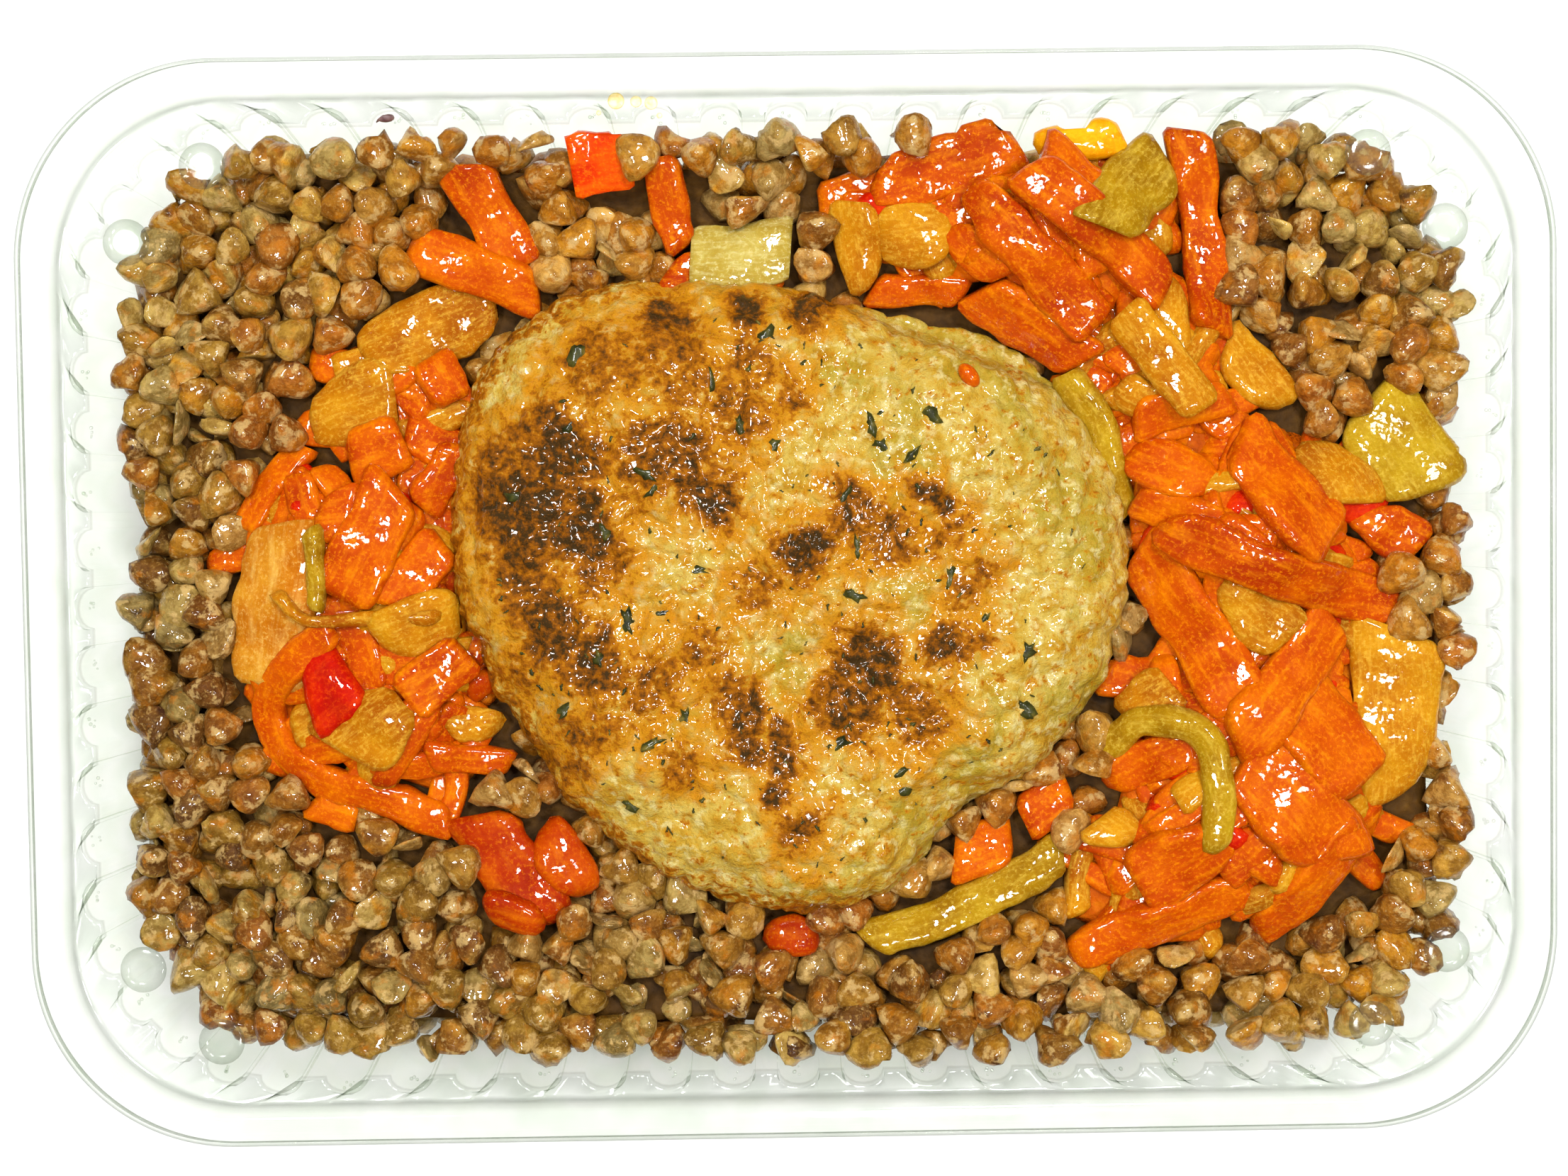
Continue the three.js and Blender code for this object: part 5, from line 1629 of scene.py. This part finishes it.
# Soft cut vegetable with an oily coat. Fibres run along the piece.
def vegetable(name, dark, middle, light, core, fibre_size, see_through, gloss):
    s = Shading(name)
    stretched = {
        letter: s.math("MULTIPLY", s.value(channel), amount) for letter, channel, amount in (
            ("X", "along", FIBRE_STRETCH * MM), ("Y", "across", MM), ("Z", "tone", PIECE_APART))
    }
    lengthwise = s.add("ShaderNodeCombineXYZ", stretched).outputs[0]
    fibre = s.noise(fibre_size, 4, 0.6, lengthwise)
    broad = s.noise(5.5, 3, 0.55)
    grain = s.noise(0.5, 4, 0.7)
    lift = s.math("ADD", s.spread(s.value("tone"), 0, 1, -0.08, 0.12), broad)
    colour = s.ramp(lift, (0.3, dark), (0.5, middle), (0.72, light))
    colour = s.mix(s.spread(fibre, 0.5, 0.75, 0.0, 0.6), colour, screen(*core))
    # The light specks on the fine grain are partly the flesh's own granules and partly painted glints
    colour = s.mix(s.spread(grain, 0.52, 0.66, 0.0, 0.55), colour, screen(*core))
    colour = s.mix(s.spread(grain, 0.48, 0.34, 0.0, 0.25), colour, screen(*dark))
    s.surface(
        Base_Color=colour, Roughness=s.spread(s.noise(1.8, 3), 0.35, 0.65, 0.4, 0.6),
        Specular_IOR_Level=0.06,
        Subsurface_Weight=see_through, Subsurface_Radius=(1.0, 0.5, 0.1), Subsurface_Scale=0.001,
        Normal=s.bump(grain, 0.12, s.bump(fibre, 0.1)),
    )
    s.coat(gloss, 0.05, 1.4, 1.5, 0.12)
    return s.material


# Thick orange sauce that fills the heaps between their pieces
def sauce():
    s = Shading("sauce")
    tone = s.ramp(s.noise(2.6, 4, 0.6), (0.3, (150, 58, 2)), (0.5, (186, 84, 4)), (0.72, (212, 118, 14)))
    rough = s.bump(s.noise(1.1, 4, 0.6), 0.4)
    s.surface(Base_Color=tone, Roughness=0.5, Specular_IOR_Level=0.06, Normal=rough)
    s.coat(0.6, 0.06, 1.5, 1.5, 0.16)
    return s.material


# Screen colours of each kind: dark, middle, light and core. Then fibre size, see-through and gloss.
VEGETABLE_LOOKS = {
    "carrot": ((160, 46, 0), (186, 70, 0), (202, 94, 0), (234, 138, 2), 1.1, 0.08, 0.55),
    "leek": ((154, 80, 2), (180, 110, 5), (198, 136, 14), (220, 174, 56), 0.55, 0.15, 0.55),
    "onion": ((158, 78, 4), (186, 108, 12), (204, 140, 34), (224, 182, 92), 1.3, 0.25, 0.55),
    "pale_leek": ((150, 120, 36), (172, 146, 54), (190, 170, 86), (214, 204, 140), 0.6, 0.25, 0.55),
    "bright_pepper": ((190, 30, 0), (212, 52, 0), (226, 84, 2), (238, 122, 6), 2.2, 0.1, 0.55),
    "red_pepper": ((140, 8, 0), (182, 18, 0), (204, 44, 0), (218, 70, 2), 1.6, 0.1, 0.45),
    "orange_pepper": ((140, 26, 0), (164, 44, 0), (184, 70, 0), (208, 108, 2), 1.6, 0.1, 0.45),
    "green_pepper": ((130, 86, 2), (160, 118, 8), (178, 142, 20), (208, 176, 62), 0.7, 0.15, 0.55),
    "yellow_pepper": ((206, 118, 0), (224, 144, 2), (236, 168, 6), (244, 190, 26), 1.2, 0.15, 0.55),
}
materials = {kind: vegetable(kind + "_flesh", *look) for kind, look in VEGETABLE_LOOKS.items()}
materials["sauce"] = sauce()
plastic = clear_plastic()
make_tray(plastic)
make_lugs(plastic)
make_dirt(
    plain_skin("fleck_skin", (96, 66, 66), (142, 112, 108)),
    plain_skin("stain_oil", (250, 214, 130), (254, 236, 186)),
)
patty_points = make_patty(patty_skin())
make_herbs(patty_points, herb_leaf())
make_carrot_bit(patty_points, materials["carrot"])
make_vegetables(materials)
make_buckwheat(buckwheat_skin(), buckwheat_gap_shade())

# The camera stands almost straight above, as in the photograph
CAMERA_PLACE = (-0.00355, 0.01049, 0.29739)
CAMERA_TURN = (-0.0351, -0.0098, -0.0139)
SENSOR = 36
LENS = 49.34
NEAR_CLIP = 0.01
camera = bpy.data.objects.new("camera", bpy.data.cameras.new("camera"))
camera.data.sensor_width = SENSOR
camera.data.lens = LENS
camera.data.clip_start = NEAR_CLIP
camera.location = CAMERA_PLACE
camera.rotation_mode = "ZYX"
camera.rotation_euler = CAMERA_TURN
link(camera)
bpy.context.scene.camera = camera

# Lights in metres and watts: large soft ones round the tray, and small sparks over it
LIT_Z = 0.03
SOFT_SIZE = 0.42
SOFT_FAR = 0.62
SOFT_Z = 0.6
SOFTS = [("left", -1, 0.25, 1.7), ("right", 1, 0.25, 1.4), ("back", 0.1, 1, 2), ("front", -0.1, -1, 1.1)]
SPARK_SIZE = 0.095
SPARK_Z = 0.62
SPARKS = [(0.1, 0.2, 1.6), (-0.2, 0.1, 1.2), (0.06, -0.18, 0.9), (0.24, 0.02, 0.7)]


# The soft lights don't show in wet surfaces, whose highlights come from the sparks
def add_light(name, place, size, power):
    data = bpy.data.lights.new(name, "AREA")
    data.shape = "DISK"
    data.size = size
    data.energy = power
    lamp = bpy.data.objects.new(name, data)
    lamp.location = place
    away = np.array(place) - np.array([0, 0, LIT_Z])
    lean = math.atan2(math.hypot(away[0], away[1]), away[2])
    lamp.rotation_euler = (lean, 0, math.atan2(away[1], away[0]) + math.pi / 2)
    lamp.visible_glossy = size == SPARK_SIZE
    link(lamp)


for name, side_x, side_y, power in SOFTS:
    add_light("soft_" + name, (side_x * SOFT_FAR, side_y * SOFT_FAR, SOFT_Z), SOFT_SIZE, power)
for index, (x, y, power) in enumerate(SPARKS):
    add_light(f"spark_{index}", (x, y, SPARK_Z), SPARK_SIZE, power)

WORLD_STRENGTH = 0.2
world = bpy.data.worlds.new("studio")
world.use_nodes = True
world.node_tree.nodes["Background"].inputs["Color"].default_value = (1, 1, 1, 1)
world.node_tree.nodes["Background"].inputs["Strength"].default_value = WORLD_STRENGTH
world.cycles_visibility.glossy = False
bpy.context.scene.world = world
bpy.context.scene.view_settings.view_transform = "Standard"

FLOOR_HALF = 1.5
FLOOR_DROP = 0.0002
FLOOR_GREY = 0.92
floor_mesh = bpy.data.meshes.new("floor")
corners = [(x * FLOOR_HALF, y * FLOOR_HALF, -FLOOR_DROP) for x, y in ((-1, -1), (1, -1), (1, 1), (-1, 1))]
floor_mesh.from_pydata(corners, [], [(0, 1, 2, 3)])
floor_shading = Shading("floor")
floor_shading.surface(Base_Color=rgba([FLOOR_GREY] * 3), Roughness=0.6)
floor_mesh.materials.append(floor_shading.material)
floor = bpy.data.objects.new("floor", floor_mesh)
link(floor)
